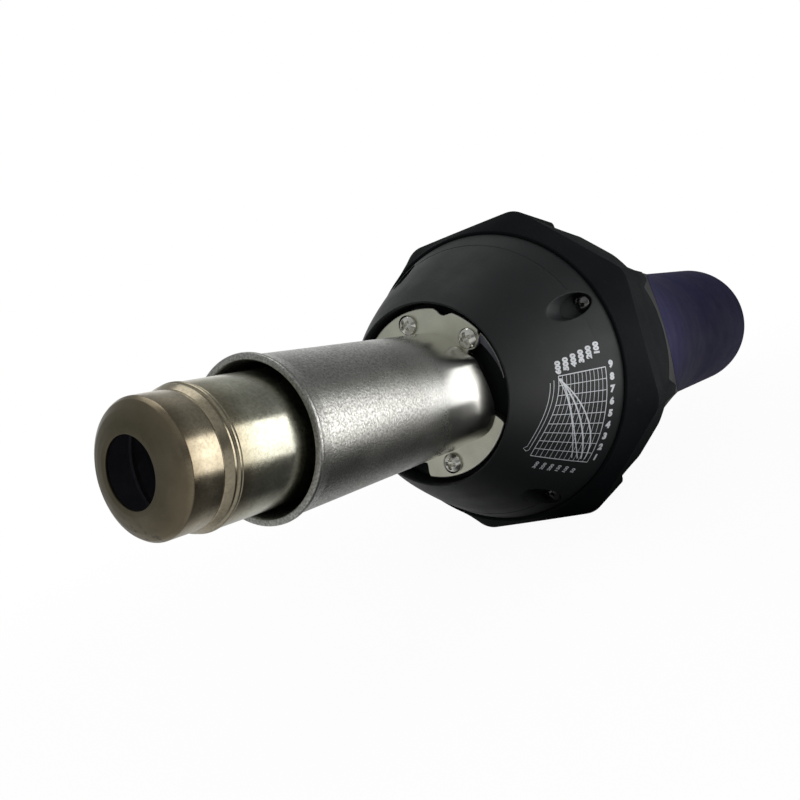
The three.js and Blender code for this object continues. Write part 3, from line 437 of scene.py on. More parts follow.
def blasted_steel():
    """Bead-blasted stainless steel with an even grain, left smooth near the flange."""
    n = Finish("blasted_steel", Metallic=1.0)
    grain = n.noise(1900.0, 3.0, 0.6)
    along = n.math("MULTIPLY", n.split(n.coords)["X"], -1.0)
    matt = n.span(along, 0.072, 0.091, 1.0, 0.0)
    tone = n.mix(n.mottle(45.0, 4.0, 0.0, 1.0), (0.62, 0.615, 0.58), (0.70, 0.695, 0.66))
    dull = n.math("MULTIPLY", n.span(grain, 0.35, 0.65, 0.25, 0.85), matt)
    n.color(n.mix(dull, tone, (0.20, 0.197, 0.185)))
    uneven = n.mottle(90.0, 4.0, -0.04, 0.04)
    gloss = n.math("ADD", n.math("MULTIPLY", n.span(grain, 0.3, 0.7, 0.0, 0.16), matt), uneven)
    n.rough(n.math("ADD", gloss, n.span(matt, 0.0, 1.0, 0.22, 0.27)))
    n.bump(n.math("MULTIPLY", grain, matt), 0.5, 0.00012)
    return n.material


def plate_steel():
    n = Finish("plate_steel", Metallic=1.0)
    n.color(n.mix(n.mottle(110.0, 5.0, 0.0, 1.0), (0.74, 0.73, 0.61), (0.60, 0.59, 0.50)))
    n.rough(n.mottle(300.0, 5.0, 0.26, 0.38))
    n.bump(n.noise(1800.0, 2.0, 0.6), 0.18, 0.00006)
    return n.material


def screw_steel():
    n = Finish("screw_steel", Metallic=1.0)
    spots = n.span(n.noise(420.0, 4.0), 0.35, 0.7)
    n.color(n.mix(spots, (0.86, 0.85, 0.80), (0.62, 0.61, 0.56)))
    n.rough(n.mottle(700.0, 3.0, 0.10, 0.20))
    n.bump(n.noise(1500.0, 2.0), 0.12, 0.00003)
    return n.material


STEEL_HOT = heated_steel()
STEEL_BLASTED = blasted_steel()
STEEL_PLATE = plate_steel()
STEEL_SCREW = screw_steel()
# Painted shade: the hood screws get a dark steel that stands in for the shade deep in their pockets
STEEL_POCKET_SHADE = worn("hood_screws_painted_shade", (0.20, 0.20, 0.195), (0.12, 0.12, 0.118), 0.28, 1.0, mottle=420.0)
# Painted highlight: a pale, half-metal finish for the plate's rounded rim, standing in for the light that
# edge catches
STEEL_PAINTED_HIGHLIGHT = worn("painted_highlight_edge", (0.86, 0.86, 0.82), (0.72, 0.72, 0.68), 0.4, 0.35, mottle=300.0)
HOOD = moulded("hood_plastic", (0.0125, 0.0142, 0.0152), (0.0162, 0.0182, 0.0194), 0.52, specular=0.28,
               grain=2400.0, relief=0.16)
RUBBER = moulded("stand_rubber", (0.0058, 0.0072, 0.0082), (0.0080, 0.0095, 0.0108), 0.86, specular=0.08,
                 grain=1500.0, relief=0.3, dust=0.07)
COLLAR = moulded("collar_plastic", (0.0170, 0.0178, 0.0172), (0.0215, 0.0222, 0.0214), 0.6, specular=0.3,
                 grain=2300.0)
INDIGO = moulded("handle_plastic", (0.0125, 0.0105, 0.056), (0.0165, 0.0142, 0.070), 0.72, specular=0.2,
                 grain=2300.0, dust=0.02)
BLACK = moulded("black_parts", (0.012, 0.012, 0.013), (0.018, 0.018, 0.019), 0.4, grain=1900.0)
GREY = moulded("grey_parts", (0.10, 0.10, 0.105), (0.14, 0.14, 0.145), 0.5, grain=1700.0)
PRINT = worn("white_print", (0.72, 0.74, 0.78), (0.58, 0.60, 0.65), 0.55, mottle=300.0)
MICA_DARK = worn("dark_mica", (0.016, 0.013, 0.010), (0.028, 0.022, 0.015), 0.6, mottle=180.0, grain=1200.0)
CERAMIC = worn("ceramic", (0.30, 0.28, 0.25), (0.42, 0.40, 0.36), 0.75, mottle=220.0, grain=1800.0,
               relief=0.3)
ALLOY = worn("heating_alloy", (0.06, 0.055, 0.055), (0.10, 0.09, 0.085), 0.45, 1.0, mottle=400.0)
BRASS = worn("brass", (0.62, 0.43, 0.17), (0.50, 0.35, 0.15), 0.3, 1.0, mottle=250.0)
COPPER = worn("enamelled_copper", (0.50, 0.21, 0.09), (0.38, 0.15, 0.07), 0.32, 1.0, mottle=250.0,
              grain=1400.0)
CARBON = worn("carbon", (0.03, 0.03, 0.032), (0.05, 0.05, 0.052), 0.6, mottle=300.0, grain=2400.0,
              relief=0.4)
BOARD = worn("board_green", (0.015, 0.085, 0.035), (0.02, 0.11, 0.045), 0.35, mottle=120.0)
ALUMINIUM = worn("aluminium", (0.70, 0.71, 0.73), (0.62, 0.63, 0.65), 0.35, 1.0, mottle=150.0)
FOAM = worn("filter_foam", (0.035, 0.035, 0.038), (0.06, 0.06, 0.064), 0.9, mottle=500.0, grain=900.0,
            relief=0.9, depth=0.0004)
MOTOR_STEEL = worn("motor_steel", (0.45, 0.45, 0.44), (0.36, 0.36, 0.35), 0.36, 1.0, mottle=90.0)
# A bluish grey steel: on the bore's inner faces, and as painted shade on the plate's horn beside the cut
BORE_STEEL_AND_SHADE = worn("bore_steel_and_painted_shade", (0.24, 0.24, 0.29), (0.16, 0.16, 0.20), 0.45, 0.5, mottle=120.0)

# The nodes inside the tool keep their CAD shapes and get these materials
INNER_NODES = (
    (MICA_DARK, ("mica_tube",)),
    (CERAMIC, ("element_core", "contact_plate")),
    (ALLOY, ("heating_wire",)),
    (BRASS, ("plug_pin_1", "plug_pin_2", "plug_pin_3", "pot_shaft", "impeller_nut", "brush_holder_1",
             "brush_holder_2")),
    (GREY, ("contact_socket", "air_guide", "impeller", "end_shield", "potentiometer")),
    (MOTOR_STEEL, ("motor_can", "armature_core")),
    (RUBBER, ("motor_ring",)),
    (CARBON, ("magnet_1", "magnet_2", "carbon_brush_1", "carbon_brush_2")),
    (STEEL_SCREW, ("bearing_front", "bearing_rear", "motor_shaft", "brush_spring_1", "brush_spring_2")),
    (COPPER, ("armature_winding", "commutator")),
    (BOARD, ("control_board",)),
    (ALUMINIUM, ("heat_sink",)),
    (FOAM, ("dust_filter",)),
)


def dress_inner_nodes():
    for material, nodes in INNER_NODES:
        for node in nodes:
            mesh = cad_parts[node].data
            mesh.materials.clear()
            mesh.materials.append(material)


# Heating tube
TUBE_FLANGE = 105.9
# Where the bore's bluish grey finish starts behind the mouth, and the radius it stays inside
BORE_PAINT_START = 0.9
BORE_PAINT_RADIUS = 14.9


def in_bore(face):
    """Whether a face of the tube looks at the axis from behind the mouth."""
    c = face.center
    inward = face.normal.dot(Vector((0, c.y, c.z))) < 0
    return inward and face_radius(face) < BORE_PAINT_RADIUS and -c.x / MM > BORE_PAINT_START


def heating_tube():
    mouth = [(0.0, 7.4, 0.25), (0.02, 8.6, 0.6), (0.42, 10.3, 2.5), (1.05, 12.1, 2.2), (2.15, 13.75, 0.75),
             (3.1, 14.4, 0.8), (10.45, 14.4, 0.35), (10.8, 14.22, 0.15), (11.0, 14.45, 0.3)]
    bead = [(12.45, 15.3, 0.5), (12.95, 15.3, 0.25), (13.15, 15.1, 0.12), (13.3, 15.45, 0.2),
            (13.6, 15.62, 0.3), (14.0, 15.6, 0.3), (14.3, 15.2, 0.15), (14.55, 15.38, 0.3)]
    foot = [(TUBE_FLANGE, 15.4, 0.2), (TUBE_FLANGE, 17.2, 0.1), (TUBE_FLANGE + 0.8, 17.2, 0.1),
            (TUBE_FLANGE + 0.8, 14.6, 0.1)]
    bore = [(14.6, 14.6, 0.5), (12.6, 14.5, 0.4), (11.2, 13.75, 0.3), (10.8, 13.35, 0.2), (10.2, 13.6, 0.3),
            (3.6, 13.6, 0.8), (1.8, 12.3, 1.2), (1.1, 10.2, 0.8), (0.75, 7.4, 0.25)]
    shell = lathe(soften(mouth + bead + foot + bore, steps=6))
    piece = build("heating_tube_body", shell, ROLLED, STEEL_HOT, replaces="heating_tube",
                  angle=50)
    # The bore's inner faces get the bluish grey steel
    paint(piece, BORE_STEEL_AND_SHADE, in_bore)


# Protective sleeve and its flange plate
FLANGE = 103.4
PLATE_THICK = 1.1
PLATE_BACK = FLANGE + PLATE_THICK
PLATE_RADIUS = 24.4
PLATE_BORE = 17.2
INSULATOR_FRONT = 107.0
INSULATOR_BACK = 108.2
# Radius at the foot of the cut in the plate
CUT_FOOT = 17.3
LIP_END = 37.0
SLEEVE_RADIUS = 18.55
SLEEVE_TAPER = 0.01704
SLEEVE_SIDES = 240
BEND_START = 84.0
BEND_HEIGHT = 4.0
BEND_POWER = 2.2
EAR_ANGLES = (29, 331, 151, 209)
EAR_CIRCLE = 20.7


def sleeve_radius(s, degrees):
    """The sleeve's outer radius: a slight taper, and the slope of the part bent out beside the cut."""
    bent = BEND_HEIGHT * (max(s - BEND_START, 0.0) / (FLANGE - BEND_START)) ** BEND_POWER
    return SLEEVE_RADIUS - (s - LIP_END) * SLEEVE_TAPER + bent * flap(degrees, 32, 50, 100, 136)


def sleeve_end(degrees):
    """The station where the sleeve's outer face ends: at the plate, or along the bent part's free edge."""
    a = degrees % 360
    return FLANGE + 0.03 + flap(a, 34, 42, 95, 103) * (-3.2 + 3.0 * blend(a, 55, 97))


def sleeve():
    """A rolled lip, a slightly tapering wall and a part that opens out beside the plate's cut."""
    lip = [(35.6, 17.3, 0.8), (34.2, 17.25, 0.9), (33.0, 17.6, 0.5), (32.5, 17.9, 0.3), (32.5, 19.3, 0.45),
           (33.45, 19.42, 0.5), (34.0, 18.95, 0.25), (34.5, 18.85, 0.5), (LIP_END, SLEEVE_RADIUS, 1.5)]
    outside = soften(lip + [(60.0, sleeve_radius(60.0, 0), 0)], closed=False, steps=6)
    rows = [circle(s, r, SLEEVE_SIDES) for s, r in outside]
    angles = round_angles(SLEEVE_SIDES)
    start = BEND_START - 2.0
    steps = 18
    for i in range(steps + 1):
        stations = [start + (sleeve_end(a) - start) * i / steps for a in angles]
        rows.append([spot(s, sleeve_radius(s, a), a) for s, a in zip(stations, angles)])
    rows.append([spot(sleeve_end(a) + 0.05, sleeve_radius(sleeve_end(a), a) - 0.75, a) for a in angles])
    for s, r in ((INSULATOR_BACK, 16.9), (INSULATOR_BACK, 16.5), (37.5, 17.3)):
        rows.append(circle(s, r, SLEEVE_SIDES))
    return grid(rows)


def dip(degrees, middle, width, depth):
    """A smooth notch in the rim of the plate."""
    off = abs((degrees - middle + 180) % 360 - 180)
    return depth * (0.5 + 0.5 * cos(pi * off / width)) if off < width else 0.0


def plate_radius(degrees):
    """Outer radius of the flange plate round the hood's own angle."""
    a = degrees % 360
    radius = PLATE_RADIUS - dip(a, 2, 8.5, 1.5) - dip(a, 272, 9, 0.6)
    radius -= (radius - CUT_FOOT) * flap(a, 31, 37, 89, 97)
    radius -= (radius - CUT_FOOT - 3.35) * flap(a, 173, 176, 187, 190)
    return radius


def plate(start, end, inner, outer_at, bevel):
    """A flat ring between two stations whose outer edge follows outer_at(angle)."""
    angles = round_angles(360)
    rows = [circle(start, inner, 360)]
    for share in (0.5, 0.8, 0.95):
        rows.append([spot(start, inner + (outer_at(a) - bevel - inner) * share, a) for a in angles])
    for k in range(5):
        turn = QUARTER * k / 4
        station = start + bevel * (1 - cos(turn))
        inset = bevel * (1 - sin(turn))
        rows.append([spot(station, outer_at(a) - inset, a) for a in angles])
    rows.append([spot(end, outer_at(a), a) for a in angles])
    rows.append(circle(end, inner, 360))
    return grid(rows)


def plate_horn():
    """The thin horn of the plate's rim that runs on beside the cut."""
    start = 34.0
    end = 67.0
    steps = 40
    rows = []
    for i in range(steps + 1):
        t = i / steps
        a = start + (end - start) * t
        wide = 0.08 + 2.7 * (1 - t) ** 0.9
        section = [(FLANGE + 0.1 + 0.35 * wide, PLATE_RADIUS - wide), (FLANGE, PLATE_RADIUS - 0.12),
                   (FLANGE + 0.08, PLATE_RADIUS), (PLATE_BACK, PLATE_RADIUS),
                   (PLATE_BACK, PLATE_RADIUS - wide)]
        rows.append([spot(s, r, a) for s, r in section])
    verts, faces = grid(rows, closed_rows=False)
    last = len(verts)
    return verts, faces + [(4, 3, 2, 1, 0), tuple(range(last - 5, last))]


def plate_ear(degrees):
    """A round ear of the plate for one screw."""
    front = FLANGE + 0.02
    outline = [(front, AXIS), (front, 3.1), (FLANGE + 0.2, 3.3), (PLATE_BACK, 3.3), (PLATE_BACK, AXIS)]
    return beside(lathe(outline, 40), *spot(0, EAR_CIRCLE, degrees)[1:])


def on_bevel(face):
    return 0.15 < abs(face.normal.x) < 0.9 and face_radius(face) > 17.9


# Faces of the plate's horn beside the cut, which get painted shade
def horn_for_painted_shade(face):
    degrees = in_degrees(atan2(face.center.y, face.center.z))
    return 35 < degrees < 68 and 20.5 < face_radius(face) < 24.25


def ring_radius(degrees):
    """The insulating ring stays inside the plate's outline."""
    return plate_radius(degrees) - 1.4


def protective_tube():
    build("protective_tube_body", sleeve(), ROLLED, STEEL_BLASTED,
          replaces="protective_tube", angle=45)
    shell = merge(plate(FLANGE, PLATE_BACK, PLATE_BORE, plate_radius, 0.28), plate_horn(),
                  *[plate_ear(a) for a in EAR_ANGLES])
    piece = build("protective_tube_flange", shell, ROLLED, STEEL_PLATE, angle=40)
    # Painted highlight along the plate's rounded rim
    paint(piece, STEEL_PAINTED_HIGHLIGHT, on_bevel)
    # Painted shade: the horn beside the plate's cut gets the darker bluish steel instead of the plate's own
    paint(piece, BORE_STEEL_AND_SHADE, horn_for_painted_shade)
    ring = plate(INSULATOR_FRONT, INSULATOR_BACK, 14.0, ring_radius, 0.1)
    build("insulating_ring_body", ring, ROLLED, MICA_DARK, replaces="insulating_ring", angle=40)


# Screws
HEAD_RINGS = 34
HEAD_SIDES = 96
HEAD_RADIUS = 2.9
# Length of a cross arm, half its width, and the widths of its slopes at sides and ends
CROSS_REACH = HEAD_RADIUS * 0.62
CROSS_WIDTH = HEAD_RADIUS * 0.19
CROSS_SIDE = HEAD_RADIUS * 0.07
CROSS_END = HEAD_RADIUS * 0.12
# Length of the tapered tip
TIP = 1.5
POCKET_CIRCLE = 40.3
POCKET_ANGLES = (45, 135, 225, 315)


def cross_depth(y, z, turn):
    """How far a place on the head is sunk into the cross, from 0 to 1."""
    p = abs(y * cos(turn) + z * sin(turn))
    q = abs(z * cos(turn) - y * sin(turn))

    def arm(along, across):
        return ease((CROSS_WIDTH - across) / CROSS_SIDE) * ease((CROSS_REACH - along) / CROSS_END)

    return max(arm(p, q), arm(q, p))


def cross_screw(height, shank, length, turn=0.0):
    """A domed cross-head screw with its seat at station 0; the recess is sunk into the head's own grid."""
    rows = []
    for i in range(HEAD_RINGS + 1):
        r = HEAD_RADIUS * (i / HEAD_RINGS)
        top = height * (1 - 0.62 * (r / HEAD_RADIUS) ** 2.4)
        deep = height * (0.95 - 0.35 * min(r / CROSS_REACH, 1.0))
        ring = circle(-top, r, HEAD_SIDES)
        rows.append([(x - deep * cross_depth(y, z, turn), y, z) for x, y, z in ring])
    for s, r in ((-0.25 * height, HEAD_RADIUS), (0.0, HEAD_RADIUS * 0.97), (0.0, shank)):
        rows.append(circle(s, r, HEAD_SIDES))
    pitch = shank * 0.55
    steps = int(length / pitch * 4)
    for i in range(steps + 1):
        depth = length * i / steps
        r = shank * (1 - 0.10 * (0.5 - 0.5 * cos(QUARTER * i)))
        if depth > length - TIP:
            r *= 0.7 + 0.3 * (length - depth) / TIP
        rows.append(circle(depth, r, HEAD_SIDES))
    rows.append(circle(length, AXIS, HEAD_SIDES))
    return grid(rows, closed_rows=False)


def put_screws(name, shell, matrix, station, radius, seats, material, flip=Matrix.Identity(4)):
    """One screw for each (angle, twist) of a circle of seats."""
    for i, (degrees, twist) in enumerate(seats, 1):
        seat = Matrix.Translation(Vector(spot(station, radius, degrees)) * MM)
        place = matrix @ seat @ flip @ Matrix.Rotation(twist, 4, "X")
        build(f"{name}_head_{i}", shell, place, material, replaces=f"{name}_{i}", angle=60)


def front_screws():
    short = cross_screw(1.9, 1.45, 10.2, turn=0.4)
    seats = ((-29, 0.5), (151, 1.3), (29, 0.15), (209, 0.9))
    put_screws("flange_screw", short, ROLLED, FLANGE - 0.1, EAR_CIRCLE, seats, STEEL_SCREW)
    long = cross_screw(2.1, 1.55, 23.6)
    seats = zip(POCKET_ANGLES, (0.2, 0.9, 1.2, 0.6))
    # The hood screws get the dark steel as painted shade of their pockets
    put_screws("hood_screw", long, ROLLED, POCKET_FLOOR - 0.3, POCKET_CIRCLE, seats, STEEL_POCKET_SHADE)


# Front hood
POCKETS = [spot(0, POCKET_CIRCLE, a)[1:] for a in POCKET_ANGLES]
POCKET_RADIUS = 3.7
POCKET_SIDES = 72
POCKET_FLOOR = 134.0
FLOOR_ROUND = 0.6
# Width of the rounded rim of a pocket
RIM = 0.25
HOOD_BORE = 26.5
HOOD_RADIUS = 45.0
HOOD_END = 150.0
GROOVE_RADIUS = 41.6
# The dome as (radius, station) points
DOME = [(HOOD_BORE, 101.35), (27.1, 102.1), (27.9, 103.3), (29.2, 105.2), (32.5, 110.4), (35.8, 116.4),
        (39.9, 124.3), (42.6, 130.0), (HOOD_RADIUS, 135.5)]
HOOD_RINGS = [HOOD_BORE, 26.8, 27.2, 27.7, 28.3, 29.1, 30.0] + [30.9 + 0.9 * k for k in range(11)] + \
             [40.8, 41.2, 41.38, 41.48, GROOVE_RADIUS, 41.72, 41.82, 42.0, 42.6, 43.3, 44.0, 44.6,
              HOOD_RADIUS]


def dome_station(r):
    if r <= HOOD_BORE:
        return DOME[0][1]
    for (r0, s0), (r1, s1) in zip(DOME, DOME[1:]):
        if r <= r1:
            return s0 + (s1 - s0) * (r - r0) / (r1 - r0)
    return DOME[-1][1] + (r - HOOD_RADIUS) * 2.0


def smooth_dome(r):
    """The dome without its corners: a weighted mean over 1.4 mm to either side, except at its two edges."""
    near = [(min(max(r + 1.4 * k / 3, HOOD_BORE), 46.5), 4 - abs(k)) for k in range(-3, 4)]
    total = sum(dome_station(other) * weight for other, weight in near)
    inside = min(max((r - HOOD_BORE) / 1.2, 0.0), 1.0) * min(max((HOOD_RADIUS - r) / 1.2, 0.0), 1.0)
    return dome_station(r) * (1 - inside) + total / 16 * inside


def line_groove(y, z):
    """The fine groove round the dome, shallow beside the printed chart."""
    off = abs(hypot(y, z) - GROOVE_RADIUS) / 0.22
    a = in_degrees(atan2(y, z)) % 360
    return (0.28 - 0.22 * flap(a, 30, 50, 130, 150)) * max(0.0, 1 - off * off)


def hood_station(y, z):
    """The hood's front face with its groove and the rounded rims of its pockets."""
    s = smooth_dome(hypot(y, z)) + line_groove(y, z)
    for cy, cz in POCKETS:
        inward = POCKET_RADIUS + RIM - hypot(y - cy, z - cz)
        if inward > 0:
            s += RIM * 1.2 * (1 - sqrt(max(0.0, 1 - min(inward / RIM, 1.0) ** 2)))
    return s


def clear_of_pockets(y, z, distance):
    return all(hypot(y - cy, z - cz) > distance for cy, cz in POCKETS)


def flat_ring(radius, sides, y=0.0, z=0.0):
    turns = [2 * pi * j / sides for j in range(sides)]
    return [(y + radius * sin(t), z + radius * cos(t)) for t in turns]


def hood_face():
    """The dome as triangles between the rings round the axis and the rings round the pockets."""
    points = []
    for r in HOOD_RINGS:
        for y, z in flat_ring(r, SIDES):
            if r in (HOOD_BORE, HOOD_RADIUS) or clear_of_pockets(y, z, POCKET_RADIUS + RIM + 0.35):
                points.append((y, z))
    rim = [POCKET_RADIUS + RIM * (1 - cos(QUARTER * k / 6)) for k in range(7)]
    rim.append(POCKET_RADIUS + RIM + 0.2)
    for cy, cz in POCKETS:
        for d in rim:
            points += [p for p in flat_ring(d, POCKET_SIDES, cy, cz) if hypot(*p) < HOOD_RADIUS - 0.1]
    result = delaunay_2d_cdt([Vector(p) for p in points], [], [], 0, 1e-5)
    flat, triangles = result[0], result[2]
    faces = []
    for triangle in triangles:
        y = sum(flat[i].x for i in triangle) / 3
        z = sum(flat[i].y for i in triangle) / 3
        on_hood = HOOD_BORE - 0.01 <= hypot(y, z) <= HOOD_RADIUS
        if on_hood and clear_of_pockets(y, z, POCKET_RADIUS - 0.002):
            faces.append(tuple(triangle))
    return [(-hood_station(p.x, p.y), p.x, p.y) for p in flat], faces


def hood_pocket(cy, cz):
    """The wall and the rounded floor of one screw pocket."""
    ring = flat_ring(POCKET_RADIUS, POCKET_SIDES, cy, cz)

    def shrunk(station, share):
        return [(-station, cy + (y - cy) * share, cz + (z - cz) * share) for y, z in ring]

    rows = [[(-hood_station(y, z), y, z) for y, z in ring],
            [(-max(POCKET_FLOOR - 0.8, hood_station(y, z) + 0.05), y, z) for y, z in ring]]
    for k in (1, 2, 3):
        t = QUARTER * k / 3
        share = 1 - FLOOR_ROUND * (1 - cos(t)) / POCKET_RADIUS
        rows.append(shrunk(POCKET_FLOOR - FLOOR_ROUND * (1 - sin(t)), share))
    rows.append(shrunk(POCKET_FLOOR, 0.01))
    return grid(rows, closed_rows=False)


def front_hood():
    recess = [(101.35, HOOD_BORE), (101.22, 26.3), (101.25, 26.1), (101.45, 25.95), (101.8, 25.9),
              (107.9, 25.9), (108.3, 25.7), (108.5, 25.3), (108.5, 20.0), (108.5, 14.6), (108.9, 14.0)]
    inside = [(122.0, 14.0), (122.0, 16.5), (111.2, 16.5), (111.0, 17.0), (111.0, 27.5), (112.2, 29.6),
              (134.5, 40.6), (136.5, 42.0), (137.0, 42.3)]
    edge = [(HOOD_END, 42.3), (HOOD_END, 44.8), (136.2, 44.85), (135.5, HOOD_RADIUS)]
    body = lathe(recess + inside + edge, closed=False)
    shell = merge(hood_face(), *[hood_pocket(*pocket) for pocket in POCKETS], body)
    build("front_hood_shell", shell, ROLLED, HOOD, replaces="front_hood", angle=42, weld=0.002)
    bosses = [cylinder(4.3, 134.6, HOOD_END, y, z) for y, z in POCKETS]
    bosses += [cylinder(3.4, 108.9, 115.5, *spot(0, EAR_CIRCLE, a)[1:], 24) for a in EAR_ANGLES]
    build("front_hood_bosses", merge(*bosses), ROLLED, HOOD)


# Rubber stand
STAND_FRONT = 135.5
RIDGE = 145.0
STEP = 170.6
STAND_END = 172.6
# Distance of the flats and of the rounded corners from the axis at the ridge
APOTHEM = 48.97
CORNER = 52.3
# At the rear: radius of the lugs, and how far a side may stand out over the middle of its flat
LUG = 49.2
TRIM = 0.45
# Half the angle of one of the eight sides
HALF_SIDE = 22.5
HALF_TURN = radians(HALF_SIDE)
CORNER_ROUND = (APOTHEM / cos(HALF_TURN) - CORNER) / (1 / cos(HALF_TURN) - 1)
CORNER_OFFSETS = (0, 0.75, 1.5, 2.25, 3, 3.6, 4.2)


def from_flat(degrees):
    """The angle from the middle of the nearest flat."""
    return abs((degrees + HALF_SIDE) % (2 * HALF_SIDE) - HALF_SIDE)


def ridge_outline(degrees):
    """An octagon with rounded corners."""
    off = from_flat(degrees)
    if off <= in_degrees(atan((APOTHEM - CORNER_ROUND) * tan(HALF_TURN) / APOTHEM)):
        return APOTHEM / cos(radians(off))
    beta = radians(HALF_SIDE - off)
    centre = (APOTHEM - CORNER_ROUND) / cos(HALF_TURN)
    return centre * cos(beta) + sqrt(max(CORNER_ROUND ** 2 - (centre * sin(beta)) ** 2, 0.0))


def rear_outline(degrees):
    """The stand's rear outline: flats, trimmed to a circle, with a lug at each corner."""
    flat = APOTHEM - (STEP - RIDGE) * tan(TILT)
    off = from_flat(degrees)
    trimmed = min(flat / cos(radians(off)), flat + TRIM)
    return trimmed + (LUG - trimmed) * ease((off - 18.6) / 2.4)


def stand_section(degrees):
    chain = [(STAND_FRONT, 45.15, 0.1), (STAND_FRONT, 46.0, 0.5), (RIDGE, ridge_outline(degrees), 1.2),
             (STEP, rear_outline(degrees), 0.7), (STEP, 46.0, 0.4), (STAND_END, 46.0, 0.5),
             (STAND_END, 45.12, 0.1)]
    return [spot(s, r, degrees) for s, r in soften(chain, steps=5)]


def rubber_stand():
    angles = {round(1.5 * k, 3) for k in range(240)}
    for k in range(8):
        for off in CORNER_OFFSETS:
            angles |= {round(45 * k + HALF_SIDE + off, 3), round(45 * k + HALF_SIDE - off, 3)}
    rows = [list(row) for row in zip(*[stand_section(a) for a in sorted(angles)])]
    build("rubber_stand_body", grid(rows), TOOL, RUBBER, replaces="rubber_stand", angle=50)


# Rear housing
HANDLE_RADIUS = 28.5
FLARE_START = 173.0
FLARE_LENGTH = 107.0
FLARE_RISE = 15.9
TONGUE_MIDDLE = 237.0
TONGUE_REACH = 50.0
COLLAR_START = 172.9
COLLAR_WALL = 1.8
# Rounding of the housing's rear edge and of the handle's front edge, and the gap between them
LIP = 0.35
RING = round_angles(240)


def flare(s):
    """The outer radius of the housing behind the stand and of the handle."""
    t = min(max((s - FLARE_START) / FLARE_LENGTH, 0.0), 1.0)
    return HANDLE_RADIUS + FLARE_RISE * (1 - t) ** 1.35


def tongue(degrees):
    """The station where the housing ends: farthest back at the top and at the bottom."""
    return TONGUE_MIDDLE + TONGUE_REACH * cos(2 * radians(degrees))


def skin(starts, ends, inset):
    """Rows that follow the flare between two lines round the tool, inset mm below it."""
    rows = []
    for i in range(31):
        stations = [start + (end - start) * (i / 30) for start, end in zip(starts, ends)]
        rows.append([spot(s, flare(s) - inset, a) for s, a in zip(stations, RING)])
    return rows


def collar():
    """The housing's rear skin, with a rounded lip along its end."""
    starts = [COLLAR_START] * len(RING)
    ends = [tongue(a) - LIP for a in RING]
    rows = skin(starts, ends, 0.0)
    for k in range(1, 4):
        turn = QUARTER * k / 4
        back = LIP * (1 - sin(turn))
        inset = LIP * (1 - cos(turn))
        rows.append([spot(tongue(a) - back, flare(tongue(a)) - inset, a) for a in RING])
    for inset in (LIP, COLLAR_WALL):
        rows.append([spot(tongue(a), flare(tongue(a)) - inset, a) for a in RING])
    return grid(rows + skin(starts, ends, COLLAR_WALL)[::-1])


def rear_housing():
    front = soften([(150.3, 42.3, 0.1), (150.3, 44.8, 0.3), (COLLAR_START, 44.8, 0.3), (173.2, 44.0, 0.2),
                    (172.0, 42.3, 0.3)], steps=3)
    build("rear_housing_collar", merge(collar(), lathe(front)), TOOL, COLLAR,
          replaces="rear_housing", angle=40)
    stations = [FLARE_START + FLARE_LENGTH * k / 24 for k in range(25)] + [290.0]
    core = [(s, flare(s) - 2.55) for s in stations] + [(s, flare(s) - 4.5) for s in stations[::-1]]
    partition = [(162.5, 16.0), (162.5, 42.6), (165.0, 42.6), (165.0, 16.0)]
    cage = [(162.6, 24.9), (162.6, 26.9), (184.5, 26.9), (184.5, 24.9)]
    pins = [cylinder(3.5, 150.3, 163.0, *spot(0, POCKET_CIRCLE * 0.985, a + in_degrees(ROLL))[1:])
            for a in POCKET_ANGLES]
    shell = merge(lathe(core), lathe(partition, 96), lathe(cage, 96), *pins)
    build("rear_housing_core", shell, TOOL, COLLAR, angle=40)


# Handle
# Stations of the handle's rear part: the last of the even rows, the inner step, and where the edge rounds off
HANDLE_ROWS_END = 336.0
HANDLE_STEP = 340.0
HANDLE_ROUND = 343.2
HANDLE_WALL = 2.2
DIAL_STATION = 300
# The dial sits on the tool's -Y side: its own -x axis points out of the handle
DIAL = TOOL @ Matrix.Translation((-DIAL_STATION * MM, 0, 0)) @ Matrix.Rotation(QUARTER, 4, "Z")


def handle_radius(s):
    """The handle's rear part, with its rounded end."""
    t = min((s - HANDLE_ROUND) / 2.2, 1.0) if s >= HANDLE_ROUND else 0.0
    return flare(s) - 2.0 * (1 - sqrt(max(0.0, 1 - t * t)))


def handle_shell():
    """A shell from the tongue's line to the rear end, with rounded edges."""
    fronts = [tongue(a) + LIP for a in RING]
    rows = []
    for k in (3, 2, 1):
        inset = LIP * (1 - cos(QUARTER * k / 4))
        rows.append([spot(s + inset, flare(s) - inset, a) for s, a in zip(fronts, RING)])
    rows += skin([s + LIP for s in fronts], [HANDLE_ROWS_END] * len(RING), 0.0)
    for s in (HANDLE_STEP, 342.0, HANDLE_ROUND, 343.8, 344.4, 344.9, 345.25, 345.38):
        rows.append(circle(s, handle_radius(s), len(RING)))
    for s, r in ((345.4, 26.7), (345.2, 26.35), (344.8, 26.35)):
        rows.append(circle(s, r, len(RING)))
    return grid(rows + skin(fronts, [HANDLE_STEP] * len(RING), HANDLE_WALL)[::-1])


def handle():
    piece = build("handle_body", handle_shell(), TOOL, INDIGO, replaces="handle_shell",
                  angle=40)
    seat = soften([(20.0, 0.01, 0), (20.0, 8.45, 0), (26.9, 8.45, 0), (26.9, 10.5, 0.4), (28.2, 10.5, 0),
                   (30.5, 12.0, 0), (30.5, 0.01, 0)])
    cut_with(piece, cutter(lathe(seat, 96), DIAL))
    bosses = [cylinder(3.4, 326.6, 339.4, 0.0, z) for z in (23.6, -23.6)]
    build("handle_bosses", merge(*bosses), TOOL, INDIGO)


# Temperature dial
DIAL_RIDGES = 36
# The numbers run over 270 degrees, and the first one is half of that from the direction of the mouth
DIAL_SWEEP = 270
POINTER = DIAL @ Matrix.Rotation(radians(-DIAL_SWEEP / 2), 4, "X")
